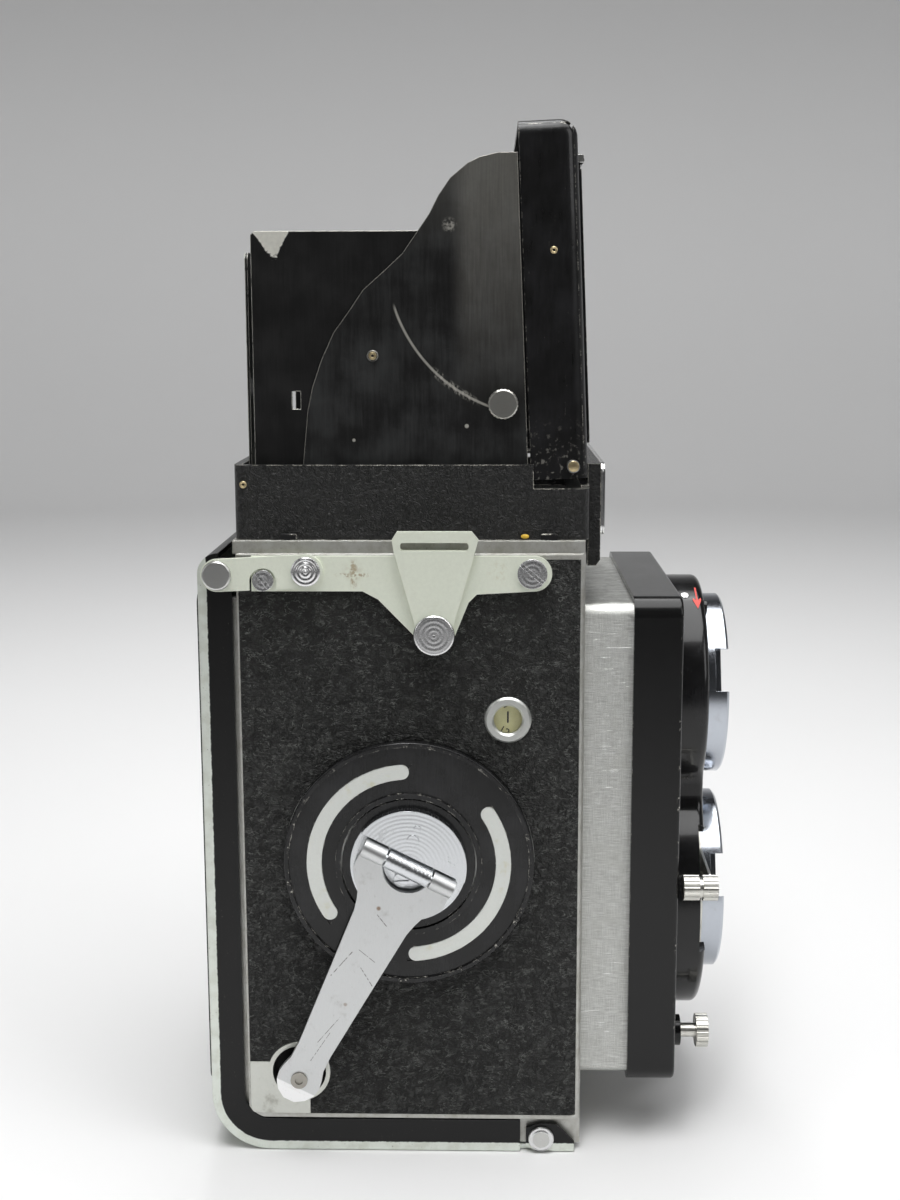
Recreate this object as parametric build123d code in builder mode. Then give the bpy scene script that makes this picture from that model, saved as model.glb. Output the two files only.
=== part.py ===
from build123d import *
import math
import os

os.makedirs("parts", exist_ok=True)

# Driving sizes, millimetres. +Z is up, the lenses face -Y, the crank is on the -X side,
# and the origin is the mouth of the tripod socket.
half_w = 39.0          # half the body's width
front_y = -37.8        # front face of the casting
rear_y = 30.3          # rear edge of the casting's side walls
door_y = 37.9          # outer face of the back door
deck_z = 126.9         # top face of the casting
hood_h = 14.6          # height of the hood base above the deck
take_z = 45.9          # height of the taking lens axis
lens_gap = 44.6        # from the taking lens axis up to the viewing lens axis
rack = 7.0             # travel of the lens standard
gap = 0.4              # general moving clearance
skin = 1.0             # sheet thickness of the door and the shroud
chamber_r = 13.2       # film chamber radius
spool_r = 12.5         # flange radius of a 120 spool
crank_y, crank_z = -3.0, 62.2
crank_len = 50.2       # crank axis to the knob
plate_r = 25.0         # crank side round plate
leaf = 0.8             # leather thickness

view_z = take_z + lens_gap
panel_half = half_w - 4.0
panel_back, panel_front = -47.6, -57.4
panel_low, panel_high = take_z - 32.9, view_z + 24.4
shroud_half = panel_half - 1.5
supply_y, supply_z = -15.0, take_z - 30.6
takeup_y, takeup_z = 16.5, take_z + 44.1
pivot_y, pivot_z = door_y - 4.1, deck_z - 6.5
rim_z = deck_z + hood_h
gate_y = 27.9


def side(x):
    """Sketch plane with local axes Y and Z, extruding towards +X."""
    return Plane(origin=(x, 0, 0), x_dir=(0, 1, 0), z_dir=(1, 0, 0))


def front(y):
    """Sketch plane with local axes X and Z, extruding towards -Y."""
    return Plane(origin=(0, y, 0), x_dir=(1, 0, 0), z_dir=(0, -1, 0))



def span(x0, x1, y0, y1, z0, z1, mode=Mode.ADD):
    """Block between two corners."""
    with Locations(((x0 + x1) / 2, (y0 + y1) / 2, (z0 + z1) / 2)):
        Box(x1 - x0, y1 - y0, z1 - z0, mode=mode)


def rod_x(x0, x1, y, z, r, mode=Mode.ADD):
    """Cylinder along X."""
    with Locations(((x0 + x1) / 2, y, z)):
        Cylinder(r, abs(x1 - x0), rotation=(0, 90, 0), mode=mode)


def rod_y(y0, y1, x, z, r, mode=Mode.ADD):
    """Cylinder along Y."""
    with Locations((x, (y0 + y1) / 2, z)):
        Cylinder(r, abs(y1 - y0), rotation=(90, 0, 0), mode=mode)


def save(builder, name):
    builder.part.label = name
    export_step(builder.part, f"parts/{name}.step")


# ---------------------------------------------------------------- body casting
with BuildPart() as body_casting:
    with BuildSketch(Plane.XY.offset(1.3)):
        with Locations((0, (front_y + rear_y) / 2)):
            Rectangle(2 * half_w, rear_y - front_y)
    extrude(amount=deck_z - 2.6 - 1.3)
    fillet(body_casting.edges().filter_by(Axis.Z).sort_by(Axis.Y)[:2], radius=2.0)
    span(-half_w + 0.8, half_w - 0.8, front_y + 0.2, 31.0, deck_z - 2.6, deck_z)
    span(-half_w + 1.5, half_w - 1.5, rear_y, 33.6, 2.0, deck_z - 11.4)
    # groove for the round top edge of the door, and the door's side flanges
    rod_x(-half_w - 1, half_w + 1, pivot_y, pivot_z, 4.5, mode=Mode.SUBTRACT)
    span(half_w - 1.4, half_w + 1, -26.1, 40, 0, 7.1, mode=Mode.SUBTRACT)
    span(-half_w - 1, -half_w + 1.4, -26.1, 40, 0, 7.1, mode=Mode.SUBTRACT)
    span(half_w - 1.4, half_w + 1, -40, -26.1, 0, 7.1, mode=Mode.SUBTRACT)
    span(-half_w - 1, -half_w + 1.4, -40, -26.1, 0, 7.1, mode=Mode.SUBTRACT)
    # round the lower rear corner to clear the door's bend
    with BuildSketch(side(-half_w - 1)):
        with Locations(((door_y - 12 + 40) / 2, 5.0)):
            Rectangle(40 - door_y + 12, 14.0)
        with Locations((door_y - 12, 12.0)):
            Circle(10.6, mode=Mode.SUBTRACT)
    extrude(amount=2 * half_w + 2, mode=Mode.SUBTRACT)
    for sign in (-1, 1):
        with BuildSketch(side(sign * half_w - (0 if sign < 0 else 1.4))):
            with Locations(((door_y - 12 + 40) / 2, 5.0)):
                Rectangle(40 - door_y + 12, 14.0)
            with Locations((door_y - 12, 12.0)):
                Circle(5.1, mode=Mode.SUBTRACT)
        extrude(amount=1.4, mode=Mode.SUBTRACT)
    # rear interior behind the gate face
    span(-half_w + 3.5, half_w - 3.5, gate_y, 40, 0, deck_z - 11.4, mode=Mode.SUBTRACT)
    # front cavity for the lens standard, with the baffle between the two lenses
    span(-shroud_half - gap, shroud_half + gap, front_y - 1, -27.9, panel_low + 0.9,
         panel_high - 0.9, mode=Mode.SUBTRACT)
    span(-shroud_half + 1.6, shroud_half - 1.6, -36.0, -27.8, take_z + 21.5, take_z + 22.7)
    # light cone from the lens to the film gate
    with BuildSketch(front(-27.8)):
        with Locations((0, take_z)):
            Rectangle(30, 30)
    with BuildSketch(front(gate_y + 0.1)):
        with Locations((0, take_z)):
            Rectangle(56, 56)
    loft(mode=Mode.SUBTRACT)
    # supply chamber, its mouth and the film passage along the bottom
    rod_x(-33, 33, supply_y, supply_z, chamber_r, mode=Mode.SUBTRACT)
    span(-33, 33, supply_y - chamber_r, supply_y + chamber_r, 0, supply_z, mode=Mode.SUBTRACT)
    span(-33, 33, supply_y, gate_y + 1, 0, take_z - 33.7, mode=Mode.SUBTRACT)
    # take-up chamber and the pocket for the upper film roller
    rod_x(-33, 33, takeup_y, takeup_z, chamber_r, mode=Mode.SUBTRACT)
    span(-33, 33, takeup_y, gate_y + 1, takeup_z - chamber_r, takeup_z + chamber_r,
         mode=Mode.SUBTRACT)
    rod_x(-33, 33, 25.8, take_z + 31.5, 2.9, mode=Mode.SUBTRACT)
    # reflex chamber in front of and above the mirror
    with BuildSketch(side(-30)):
        with BuildLine():
            Polyline((-27.8, view_z - 21.9), (19.0, view_z + 24.9), (19.0, deck_z + 3),
                     (-34.5, deck_z + 3), (-34.5, panel_high - 1.9), (-27.8, panel_high - 1.9),
                     close=True)
        make_face()
    extrude(amount=60, mode=Mode.SUBTRACT)
    # shallow recesses for the leather, then the side covers and the mechanism space
    for sign in (-1, 1):
        a, b = sorted((sign * (half_w - leaf), sign * (half_w + 1)))
        span(a, b, -36.7, 29.9, 8.0, deck_z - 3.6, mode=Mode.SUBTRACT)
        a, b = sorted((sign * (half_w - 1.4), sign * (half_w + 1)))
        span(a, b, -32, 27, 25, deck_z - 11.9, mode=Mode.SUBTRACT)
        a, b = sorted((sign * (half_w - 3.8), sign * (half_w + 1)))
        span(a, b, -31, 26, 26, deck_z - 12.9, mode=Mode.SUBTRACT)
    # film rails
    for x in (-31.6, -29.4, 29.4, 31.6):
        span(x - 0.6, x + 0.6, gate_y, gate_y + 0.5, take_z - 31, take_z + 28)
    # crank bearing, its boss, and the knob shafts on the other side
    rod_x(-half_w + 1.4, -33, crank_y, crank_z, 4.0)
    rod_x(-half_w, -32, crank_y, crank_z, 2.55, mode=Mode.SUBTRACT)
    rod_x(33, half_w - 1.4, -10.0, crank_z, 4.0)
    rod_x(32, half_w + 1, -10.0, crank_z, 2.05, mode=Mode.SUBTRACT)
    rod_x(32, half_w + 1, supply_y, supply_z, 2.05, mode=Mode.SUBTRACT)
    rod_x(33, half_w - 1.4, takeup_y, takeup_z, 4.0)
    rod_x(32, half_w + 1, takeup_y, takeup_z, 2.05, mode=Mode.SUBTRACT)
    rod_x(-half_w + 1.4, -33, takeup_y, takeup_z, 4.0)
    rod_x(-half_w, -32, takeup_y, takeup_z, 2.05, mode=Mode.SUBTRACT)
    # recess that takes the folded crank knob
    rod_x(-half_w - 1, -half_w + 2.6, 19.8, 17.3, 6.4, mode=Mode.SUBTRACT)
save(body_casting, "body_casting")


# ---------------------------------------------------------------- side covers and leathers
with BuildPart() as side_covers:
    for sign in (-1, 1):
        a, b = sorted((sign * (half_w - 1.4), sign * (half_w - leaf)))
        span(a, b, -31.9, 26.9, 25.1, deck_z - 12.0)
        if sign < 0:
            rod_x(a - 1, b + 1, crank_y, crank_z, 2.6, mode=Mode.SUBTRACT)
            rod_x(a - 1, b + 1, -22.7, 91.5, 3.1, mode=Mode.SUBTRACT)
        else:
            rod_x(a - 1, b + 1, -10.0, crank_z, 2.1, mode=Mode.SUBTRACT)
            rod_x(a - 1, b + 1, takeup_y, takeup_z, 2.1, mode=Mode.SUBTRACT)
save(side_covers, "side_covers")

with BuildPart() as body_leather:
    for sign in (-1, 1):
        a, b = sorted((sign * (half_w - leaf), sign * (half_w + 0.05)))
        span(a, b, -36.7, 29.9, 8.0, deck_z - 3.6)
    fillet(body_leather.edges().filter_by(Axis.X), radius=1.2)
    for sign in (-1, 1):
        a, b = sorted((sign * (half_w - leaf), sign * (half_w + 0.05)))
        if sign < 0:
            rod_x(a - 1, b + 1, crank_y, crank_z, plate_r + 0.1, mode=Mode.SUBTRACT)
            rod_x(a - 1, b + 1, -22.7, 91.5, 4.7, mode=Mode.SUBTRACT)
            rod_x(a - 1, b + 1, 19.8, 17.3, 6.4, mode=Mode.SUBTRACT)
            span(a - 1, b + 1, 17.6, 31, 7.0, 19.3, mode=Mode.SUBTRACT)
        else:
            rod_x(a - 1, b + 1, -10.0, crank_z, 13.0, mode=Mode.SUBTRACT)
            rod_x(a - 1, b + 1, takeup_y, takeup_z, 7.5, mode=Mode.SUBTRACT)
            rod_x(a - 1, b + 1, supply_y, supply_z, 6.0, mode=Mode.SUBTRACT)
        rod_x(a - 1, b + 1, pivot_y, pivot_z, 4.5, mode=Mode.SUBTRACT)
save(body_leather, "body_leather")

# bright cup for the folded crank knob, with the body's corner piece beside it
with BuildPart() as knob_cup:
    span(-half_w - 0.05, -half_w + leaf, 17.7, 29.9, 8.0, 19.2)
    fillet(knob_cup.edges().filter_by(Axis.X).sort_by(Axis.Y)[-2:].sort_by(Axis.Z)[0], radius=1.2)
    rod_x(-half_w - 0.4, -half_w + 2.6, 19.8, 17.3, 6.35)
    rod_x(-half_w - 1, -half_w + 2.0, 19.8, 17.3, 5.45, mode=Mode.SUBTRACT)
save(knob_cup, "knob_cup")


# ---------------------------------------------------------------- frame counter
with BuildPart() as counter_bezel:
    rod_x(-half_w - 0.7, -half_w + leaf, -22.7, 91.5, 4.6)
    rod_x(-half_w - 1, -half_w + 2, -22.7, 91.5, 2.8, mode=Mode.SUBTRACT)
    chamfer(counter_bezel.edges().filter_by(GeomType.CIRCLE).sort_by(Axis.X)[:2], length=0.4)
save(counter_bezel, "counter_bezel")

with BuildPart() as counter_glass:
    rod_x(-half_w - 0.05, -half_w + 0.55, -22.7, 91.5, 2.8)
save(counter_glass, "counter_glass")

with BuildPart() as counter_disc:
    rod_x(-half_w + 1.5, -half_w + 2.0, -22.7 + 5.5, 91.5, 8.4)
    rod_x(-half_w + 2.0, -half_w + 3.8, -22.7 + 5.5, 91.5, 1.5)
save(counter_disc, "counter_disc")


# ---------------------------------------------------------------- hood base, glass and mirror
with BuildPart() as hood_base:
    with BuildSketch(Plane.XY.offset(deck_z)):
        with Locations((0, -3.85)):
            RectangleRounded(74.6, 69.1, 2.5)
    extrude(amount=hood_h)
    span(-35.7, 35.7, -36.8, 29.1, deck_z + 3.4, rim_z + 1, mode=Mode.SUBTRACT)
    span(-28, 28, -33.5, 19.0, deck_z - 1, deck_z + 5, mode=Mode.SUBTRACT)
    span(-30.5, 30.5, -36.0, 21.5, deck_z - 1, deck_z + 1.7, mode=Mode.SUBTRACT)
    span(-35.2, 35.2, -40, -36, rim_z - 4.2, rim_z + 1, mode=Mode.SUBTRACT)
    for sign in (-1, 1):
        span(*sorted((sign * 34.5, sign * 40)), -40, -27.5, rim_z - 4.6, rim_z + 1,
             mode=Mode.SUBTRACT)
    with BuildSketch(side(-30)):
        with BuildLine():
            Polyline((-38.5, deck_z - 6.1), (-40.2, deck_z - 6.1), (-41.0, deck_z - 4.9),
                     (-41.0, rim_z - 0.4), (-38.4, rim_z - 0.4), (-38.4, rim_z - 4.2),
                     (-37.0, rim_z - 4.2), (-37.0, deck_z), (-38.5, deck_z), close=True)
        make_face()
    extrude(amount=60)
save(hood_base, "hood_base")

with BuildPart() as ground_glass:
    span(-30.3, 30.3, -35.8, 21.3, deck_z, deck_z + 1.6)
save(ground_glass, "ground_glass")

mirror_plane = Plane(origin=(0, -8.0, view_z), x_dir=(1, 0, 0), z_dir=(0, -1, 1))
with BuildPart() as mirror:
    with BuildSketch(mirror_plane.offset(-1.4)):
        with Locations((0, 4.0)):
            Trapezoid(56, 60, 96)
    extrude(amount=1.3)
save(mirror, "mirror")

with BuildPart() as nameplate:
    with BuildSketch(front(-41.0)):
        with Locations((0, deck_z + 7.0)):
            RectangleRounded(58, 14.4, 2.0)
    extrude(amount=0.6)
    fillet(nameplate.faces().sort_by(Axis.Y)[0].edges(), radius=0.25)
save(nameplate, "nameplate")


# ---------------------------------------------------------------- strap plates, lugs, hinge arms
with BuildPart() as strap_plates:
    for sign in (-1, 1):
        a, b = sorted((sign * (half_w + 0.05), sign * (half_w + 0.95)))
        with BuildSketch(side(a)):
            with BuildLine():
                Polyline((27.2, 117.2), (27.2, 124.1), (-27.7, 124.1), (-30.9, 120.7),
                         (-27.7, 117.2), (-16.6, 116.6), (-15.0, 115.0), (-12.4, 108.6),
                         (-10.3, 106.0), (-8.3, 105.2), (-6.3, 106.0), (-4.2, 108.6),
                         (2.6, 115.6), (5.6, 117.2), close=True)
            make_face()
            with Locations((-27.7, 120.65)):
                Circle(3.45)
        extrude(amount=b - a)
        a, b = sorted((sign * (half_w + 0.95), sign * (half_w + 2.25)))
        with BuildSketch(side(a)):
            with BuildLine():
                Polyline((-5.0, 107.4), (-4.6, 110.6), (-0.6, 124.9), (-0.2, 127.4), (-1.2, 129.0),
                         (-15.6, 129.0), (-16.9, 127.4), (-16.2, 124.9), (-12.0, 110.6),
                         (-11.6, 107.4), (-8.3, 105.6), close=True)
            make_face()
            with Locations((-8.4, 126.1)):
                RectangleRounded(13.2, 1.5, 0.6, mode=Mode.SUBTRACT)
        extrude(amount=b - a)
save(strap_plates, "strap_plates")

with BuildPart() as hinge_arms:
    for sign in (-1, 1):
        a, b = sorted((sign * (half_w + 0.95), sign * (half_w + 1.75)))
        with BuildSketch(side(a)):
            with Locations((pivot_y, pivot_z)):
                Circle(3.2)
            with Locations((16.5, 121.2)):
                Circle(3.3)
            with BuildLine():
                Polyline((pivot_y, pivot_z + 3.2), (16.5, 124.5), (16.5, 117.9),
                         (pivot_y, pivot_z - 3.2), close=True)
            make_face()
            with Locations((24.9, 119.2)):
                Circle(2.6, mode=Mode.SUBTRACT)
            with Locations((24.9, 116.9)):
                Rectangle(5.2, 4.6, mode=Mode.SUBTRACT)
        extrude(amount=b - a)
        a, b = sorted((sign * (half_w + 0.1), sign * (half_w + 0.95)))
        rod_x(a, b, pivot_y, pivot_z, 2.9)
        a, b = sorted((sign * (half_w - 4), sign * (half_w + 3)))
        rod_x(a, b, pivot_y, pivot_z, 1.2, mode=Mode.SUBTRACT)
save(hinge_arms, "hinge_arms")

with BuildPart() as hinge_pins:
    for sign in (-1, 1):
        a, b = sorted((sign * (half_w - 2.9), sign * (half_w + 1.75)))
        rod_x(a, b, pivot_y, pivot_z, 1.2)
        a, b = sorted((sign * (half_w + 1.75), sign * (half_w + 2.7)))
        rod_x(a, b, pivot_y, pivot_z, 2.9)
        edges = hinge_pins.edges().filter_by(GeomType.CIRCLE)
        ends = edges.sort_by(Axis.X)
        fillet(ends[0] if sign < 0 else ends[-1], radius=0.5)
    for sign in (-1, 1):
        rod_x(*sorted((sign * (half_w - 1.4), sign * (half_w + 0.1))), -29.8, 2.9, 1.0)
        rod_x(*sorted((sign * (half_w + 0.1), sign * (half_w + 0.6))), -29.8, 2.9, 2.6)
        rod_x(*sorted((sign * (half_w + 0.6), sign * (half_w + 0.9))), -29.8, 2.9, 1.7)
save(hinge_pins, "door_pins")

with BuildPart() as plate_fasteners:
    for sign in (-1, 1):
        rod_x(*sorted((sign * (half_w + 1.75), sign * (half_w + 2.35))), 16.5, 121.2, 2.9)
        rod_x(*sorted((sign * (half_w + 2.35), sign * (half_w + 2.65))), 16.5, 121.2, 2.0)
        rod_x(*sorted((sign * (half_w + 2.65), sign * (half_w + 2.85))), 16.5, 121.2, 1.1)
        rod_x(*sorted((sign * (half_w + 2.25), sign * (half_w + 2.4))), -8.3, 108.9, 3.0)
        rod_x(*sorted((sign * (half_w + 2.4), sign * (half_w + 3.6))), -8.3, 108.9, 4.0)
        for y, z, r in ((24.9, 119.4, 2.1), (-27.3, 120.7, 2.9)):
            rod_x(*sorted((sign * (half_w + 0.95), sign * (half_w + 1.7))), y, z, r)
            with Locations(Pos(sign * (half_w + 1.7), y, z) * Rot(42, 0, 0)):
                Box(0.7, 2 * r + 1, 0.6, mode=Mode.SUBTRACT)
save(plate_fasteners, "plate_fasteners")


# ---------------------------------------------------------------- back door
with BuildPart() as back_door:
    with BuildSketch(side(-half_w + 1.0)):
        with BuildLine():
            Line((door_y, 12), (door_y, pivot_z))
            RadiusArc((door_y, pivot_z), (pivot_y, pivot_z + 4.1), -4.1)
            Line((pivot_y, pivot_z + 4.1), (pivot_y, pivot_z + 4.1 - skin))
            RadiusArc((pivot_y, pivot_z + 4.1 - skin), (door_y - skin, pivot_z), 4.1 - skin)
            Line((door_y - skin, pivot_z), (door_y - skin, 12))
            Line((door_y - skin, 12), (door_y, 12))
        make_face()
    extrude(amount=2 * half_w - 2.0)

# rounded bend between the door's rear wall and its bottom
with BuildPart() as door_bend:
    with BuildSketch(side(-half_w + 1.0)):
        with BuildLine():
            RadiusArc((door_y - 12, 0), (door_y, 12), -12)
            Line((door_y, 12), (door_y - skin, 12))
            RadiusArc((door_y - skin, 12), (door_y - 12, skin), 12 - skin)
            Line((door_y - 12, skin), (door_y - 12, 0))
        make_face()
    extrude(amount=2 * half_w - 2.0)

# the door's flat bottom, with its front tongue and the tripod bush's hole
with BuildPart() as door_floor:
    span(-half_w + 1.0, half_w - 1.0, -31.0, door_y - 12, 0, skin)
    span(-half_w + 1.6, half_w - 1.6, -34.0, -30.9, 0.6, skin)
    with Locations((0, 0, 0)):
        Cylinder(5.6, 4, mode=Mode.SUBTRACT)

# the wall, bend and bottom stay three joined solids of one sheet
door_sheet = Compound(children=[*back_door.part.solids(), *door_bend.part.solids(),
                                *door_floor.part.solids()])
door_sheet.label = "back_door"
export_step(door_sheet, "parts/back_door.step")

# the door's two side rims, with the ears that turn on the hinge pins
with BuildPart() as door_rims:
    for sign in (-1, 1):
        a, b = sorted((sign * (half_w - 1.0), sign * half_w))
        with BuildSketch(side(a)):
            with BuildLine():
                Line((-25.5, 0), (door_y - 12, 0))
                RadiusArc((door_y - 12, 0), (door_y, 12), -12)
                Line((door_y, 12), (door_y, pivot_z))
                RadiusArc((door_y, pivot_z), (pivot_y, pivot_z + 4.1), -4.1)
                Line((pivot_y, pivot_z + 4.1), (pivot_y, pivot_z + 2.9))
                RadiusArc((pivot_y, pivot_z + 2.9), (pivot_y - 2.9, pivot_z), -2.9)
                Line((pivot_y - 2.9, pivot_z), (31.2, pivot_z - 4))
                Line((31.2, pivot_z - 4), (31.2, 12))
                RadiusArc((31.2, 12), (door_y - 12, 6.7), 5.3)
                Line((door_y - 12, 6.7), (-25.5, 6.7))
                Line((-25.5, 6.7), (-25.5, 0))
            make_face()
        extrude(amount=1.0)
        a, b = sorted((sign * (half_w - 3.4), sign * (half_w - 0.5)))
        rod_x(a, b, pivot_y, pivot_z, 2.9)
    rod_x(-half_w - 1, -half_w + 5, pivot_y, pivot_z, 1.25, mode=Mode.SUBTRACT)
    rod_x(half_w - 5, half_w + 1, pivot_y, pivot_z, 1.25, mode=Mode.SUBTRACT)
save(door_rims, "door_rims")

with BuildPart() as door_leather:
    with BuildSketch(front(door_y)):
        with Locations((0, 65.0)):
            RectangleRounded(2 * half_w - 5, 102, 2)
    extrude(amount=-0.7)
save(door_leather, "door_leather")

with BuildPart() as pressure_plate:
    span(-32.5, 32.5, gate_y + 0.8, gate_y + 1.7, take_z - 30, take_z + 30)
    fillet(pressure_plate.edges().filter_by(Axis.Y), radius=2.0)
    for z in (take_z - 15, take_z, take_z + 15):
        span(-22, 22, gate_y + 1.7, gate_y + 2.1, z - 0.8, z + 0.8)
    for z in (take_z - 8, take_z + 8):
        with BuildSketch(Plane.XY.offset(z - 3)):
            with BuildLine():
                Polyline((-15, gate_y + 1.6), (-15, gate_y + 2.1), (-9, gate_y + 2.3), (-3, door_y - 1),
                         (3, door_y - 1), (9, gate_y + 2.3), (15, gate_y + 2.1), (15, gate_y + 1.6),
                         (8.6, gate_y + 1.6), (2.6, door_y - 1.6), (-2.6, door_y - 1.6),
                         (-8.6, gate_y + 1.6), close=True)
            make_face()
        extrude(amount=6)
save(pressure_plate, "pressure_plate")

with BuildPart() as tripod_socket:
    with Locations((0, 0, 0)):
        Cylinder(5.6, 6.5, align=(Align.CENTER, Align.CENTER, Align.MIN))
    with Locations((0, 0, skin)):
        Cylinder(7.0, 1.0, align=(Align.CENTER, Align.CENTER, Align.MIN))
    with Locations((0, 0, -1)):
        Cylinder(3.175, 6.5, align=(Align.CENTER, Align.CENTER, Align.MIN), mode=Mode.SUBTRACT)
save(tripod_socket, "tripod_socket")

# door latch bail at the bottom front edge
with BuildPart() as door_latch:
    span(-half_w, half_w, -36.6, -34.2, 0.0, 0.9)
    for sign in (-1, 1):
        a, b = sorted((sign * (half_w - 0.9), sign * half_w))
        with BuildSketch(side(a)):
            with BuildLine():
                Polyline((-36.6, 0), (-36.6, 2.0), (-33.0, 5.8), (-29.8, 6.0), (-26.7, 5.0),
                         (-26.7, 1.2), (-28.4, 0.2), (-34.0, 0), close=True)
            make_face()
        extrude(amount=0.9)
    rod_x(-half_w - 1, half_w + 1, -29.8, 2.9, 1.05, mode=Mode.SUBTRACT)
save(door_latch, "door_latch")


# ---------------------------------------------------------------- spools, rollers and pull knobs
with BuildPart() as takeup_spool:
    for sign in (-1, 1):
        rod_x(*sorted((sign * 30.9, sign * 31.9)), takeup_y, takeup_z, spool_r)
    rod_x(-31.0, 31.0, takeup_y, takeup_z, 5.6)
    rod_x(-20, 33, takeup_y, takeup_z, 2.1, mode=Mode.SUBTRACT)
    rod_x(-35.0, -31.0, takeup_y, takeup_z, 1.97)
    span(-16, 16, takeup_y - 8, takeup_y + 8, takeup_z - 0.5, takeup_z + 0.5, mode=Mode.SUBTRACT)
save(takeup_spool, "takeup_spool")

for name, y, z in (("takeup_pull_knob", takeup_y, takeup_z), ("supply_pull_knob", supply_y, supply_z)):
    with BuildPart() as knob:
        rod_x(29.0, half_w + 1.0, y, z, 2.0)
        rod_x(half_w + 0.4, half_w + 4.0, y, z, 6.2)
        fillet(knob.edges().filter_by(GeomType.CIRCLE).sort_by(Axis.X)[-1], radius=0.6)
        for i in range(24):
            a = math.radians(15 * i)
            rod_x(half_w, half_w + 5, y + 6.45 * math.cos(a), z + 6.45 * math.sin(a), 0.45,
                  mode=Mode.SUBTRACT)
    save(knob, name)

with BuildPart() as film_rollers:
    for y, z in ((25.4, take_z - 36.5), (25.8, take_z + 31.5)):
        rod_x(-32.9, 32.9, y, z, 2.3)
save(film_rollers, "film_rollers")


# ---------------------------------------------------------------- focusing knob
with BuildPart() as focus_knob:
    rod_x(half_w + 1.8, half_w + 9.0, -10.0, crank_z, 17.0)
    fillet(focus_knob.edges().filter_by(GeomType.CIRCLE).sort_by(Axis.X)[-1], radius=1.2)
    rod_x(half_w + 8.2, half_w + 10, -10.0, crank_z, 13.0, mode=Mode.SUBTRACT)
    for i in range(48):
        a = math.radians(7.5 * i)
        rod_x(half_w + 2.6, half_w + 9.5, -10 + 17.3 * math.cos(a), crank_z + 17.3 * math.sin(a), 0.5,
              mode=Mode.SUBTRACT)
    rod_x(33.4, half_w + 2.5, -10.0, crank_z, 2.0)
save(focus_knob, "focus_knob")

with BuildPart() as focus_scale:
    rod_x(half_w - leaf, half_w + 1.3, -10.0, crank_z, 12.9)
    rod_x(half_w - 2, half_w + 2, -10.0, crank_z, 2.3, mode=Mode.SUBTRACT)
    span(half_w + 0.06, half_w + 1.3, -10 - 1.5, -10 + 1.5, crank_z + 11, crank_z + 19.5)
save(focus_scale, "focus_scale")


# ---------------------------------------------------------------- winding crank
crank_face = Plane(origin=(-half_w, crank_y, crank_z), x_dir=(0, 0.44637, -0.89484), z_dir=(-1, 0, 0))

with BuildPart() as crank_plate:
    with BuildSketch(crank_face.offset(-leaf)):
        Circle(plate_r)
        Circle(13.6, mode=Mode.SUBTRACT)
    extrude(amount=leaf + 1.9)
    with BuildSketch(crank_face.offset(1.3)):
        Circle(plate_r - 1.0)
        Circle(14.6, mode=Mode.SUBTRACT)
    extrude(amount=1, mode=Mode.SUBTRACT)
    with BuildSketch(crank_face.offset(1.0)):
        with Locations((0, 0)):
            Circle(20.45)
            Circle(17.35, mode=Mode.SUBTRACT)
        with Locations((22.0, 0)):
            Rectangle(18, 17, mode=Mode.SUBTRACT)
        with Locations((-22.0, 0)):
            Rectangle(18, 17, mode=Mode.SUBTRACT)
    extrude(amount=0.4, mode=Mode.SUBTRACT)
    fillet(crank_plate.edges().filter_by(GeomType.CIRCLE).sort_by(Axis.X)[:1], radius=0.35)
save(crank_plate, "crank_plate")

with BuildPart() as plate_arcs:
    with BuildSketch(crank_face.offset(1.0)):
        Circle(20.4)
        Circle(17.4, mode=Mode.SUBTRACT)
        with Locations((22.0, 0), (-22.0, 0)):
            Rectangle(18.1, 17.1, mode=Mode.SUBTRACT)
    extrude(amount=0.45)
save(plate_arcs, "plate_arcs")

with BuildPart() as crank_base:
    with BuildSketch(crank_face.offset(-leaf + 0.1)):
        Circle(13.3)
    extrude(amount=leaf + 1.5)
    with BuildSketch(crank_face.offset(-5.0)):
        Circle(2.5)
    extrude(amount=5.0)
save(crank_base, "crank_base")

with BuildPart() as crank_hub:
    with BuildSketch(crank_face.offset(1.6)):
        Circle(11.6)
    extrude(amount=0.6)
    # raised half, with the arm's barrel lying along its flat side
    with BuildSketch(crank_face.offset(2.1)):
        Circle(11.6)
        with Locations((17.8 - 2.2, 0)):
            Rectangle(35.6, 40, mode=Mode.SUBTRACT)
    extrude(amount=1.7)
    # middle knuckle, its post and the pin
    with BuildSketch(crank_face.offset(2.1)):
        Rectangle(2.6, 9.4)
    extrude(amount=2.1)
    with BuildSketch(Plane(origin=crank_face.from_local_coords((0, -4.7, 4.2)),
                           x_dir=crank_face.x_dir, z_dir=crank_face.y_dir)):
        Circle(1.85)
    extrude(amount=9.4)
    with BuildSketch(Plane(origin=crank_face.from_local_coords((0, -9.9, 4.2)),
                           x_dir=crank_face.x_dir, z_dir=crank_face.y_dir)):
        Circle(0.8)
    extrude(amount=19.8)
    for x, y, r in ((-5.4, -1.6, 1.2), (-8.0, -1.9, 0.7)):
        with BuildSketch(crank_face.offset(3.7)):
            with Locations((x, y)):
                Circle(r)
        extrude(amount=0.3)
    # screw seen through the arm's window
    with BuildSketch(crank_face.offset(2.1)):
        with Locations((3.3, 0)):
            Circle(1.5)
    extrude(amount=0.6)
    with BuildSketch(crank_face.offset(2.4)):
        with Locations((3.3, 0)):
            Rectangle(0.4, 4, mode=Mode.ADD, rotation=30)
    extrude(amount=1, mode=Mode.SUBTRACT)
save(crank_hub, "crank_hub")

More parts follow.
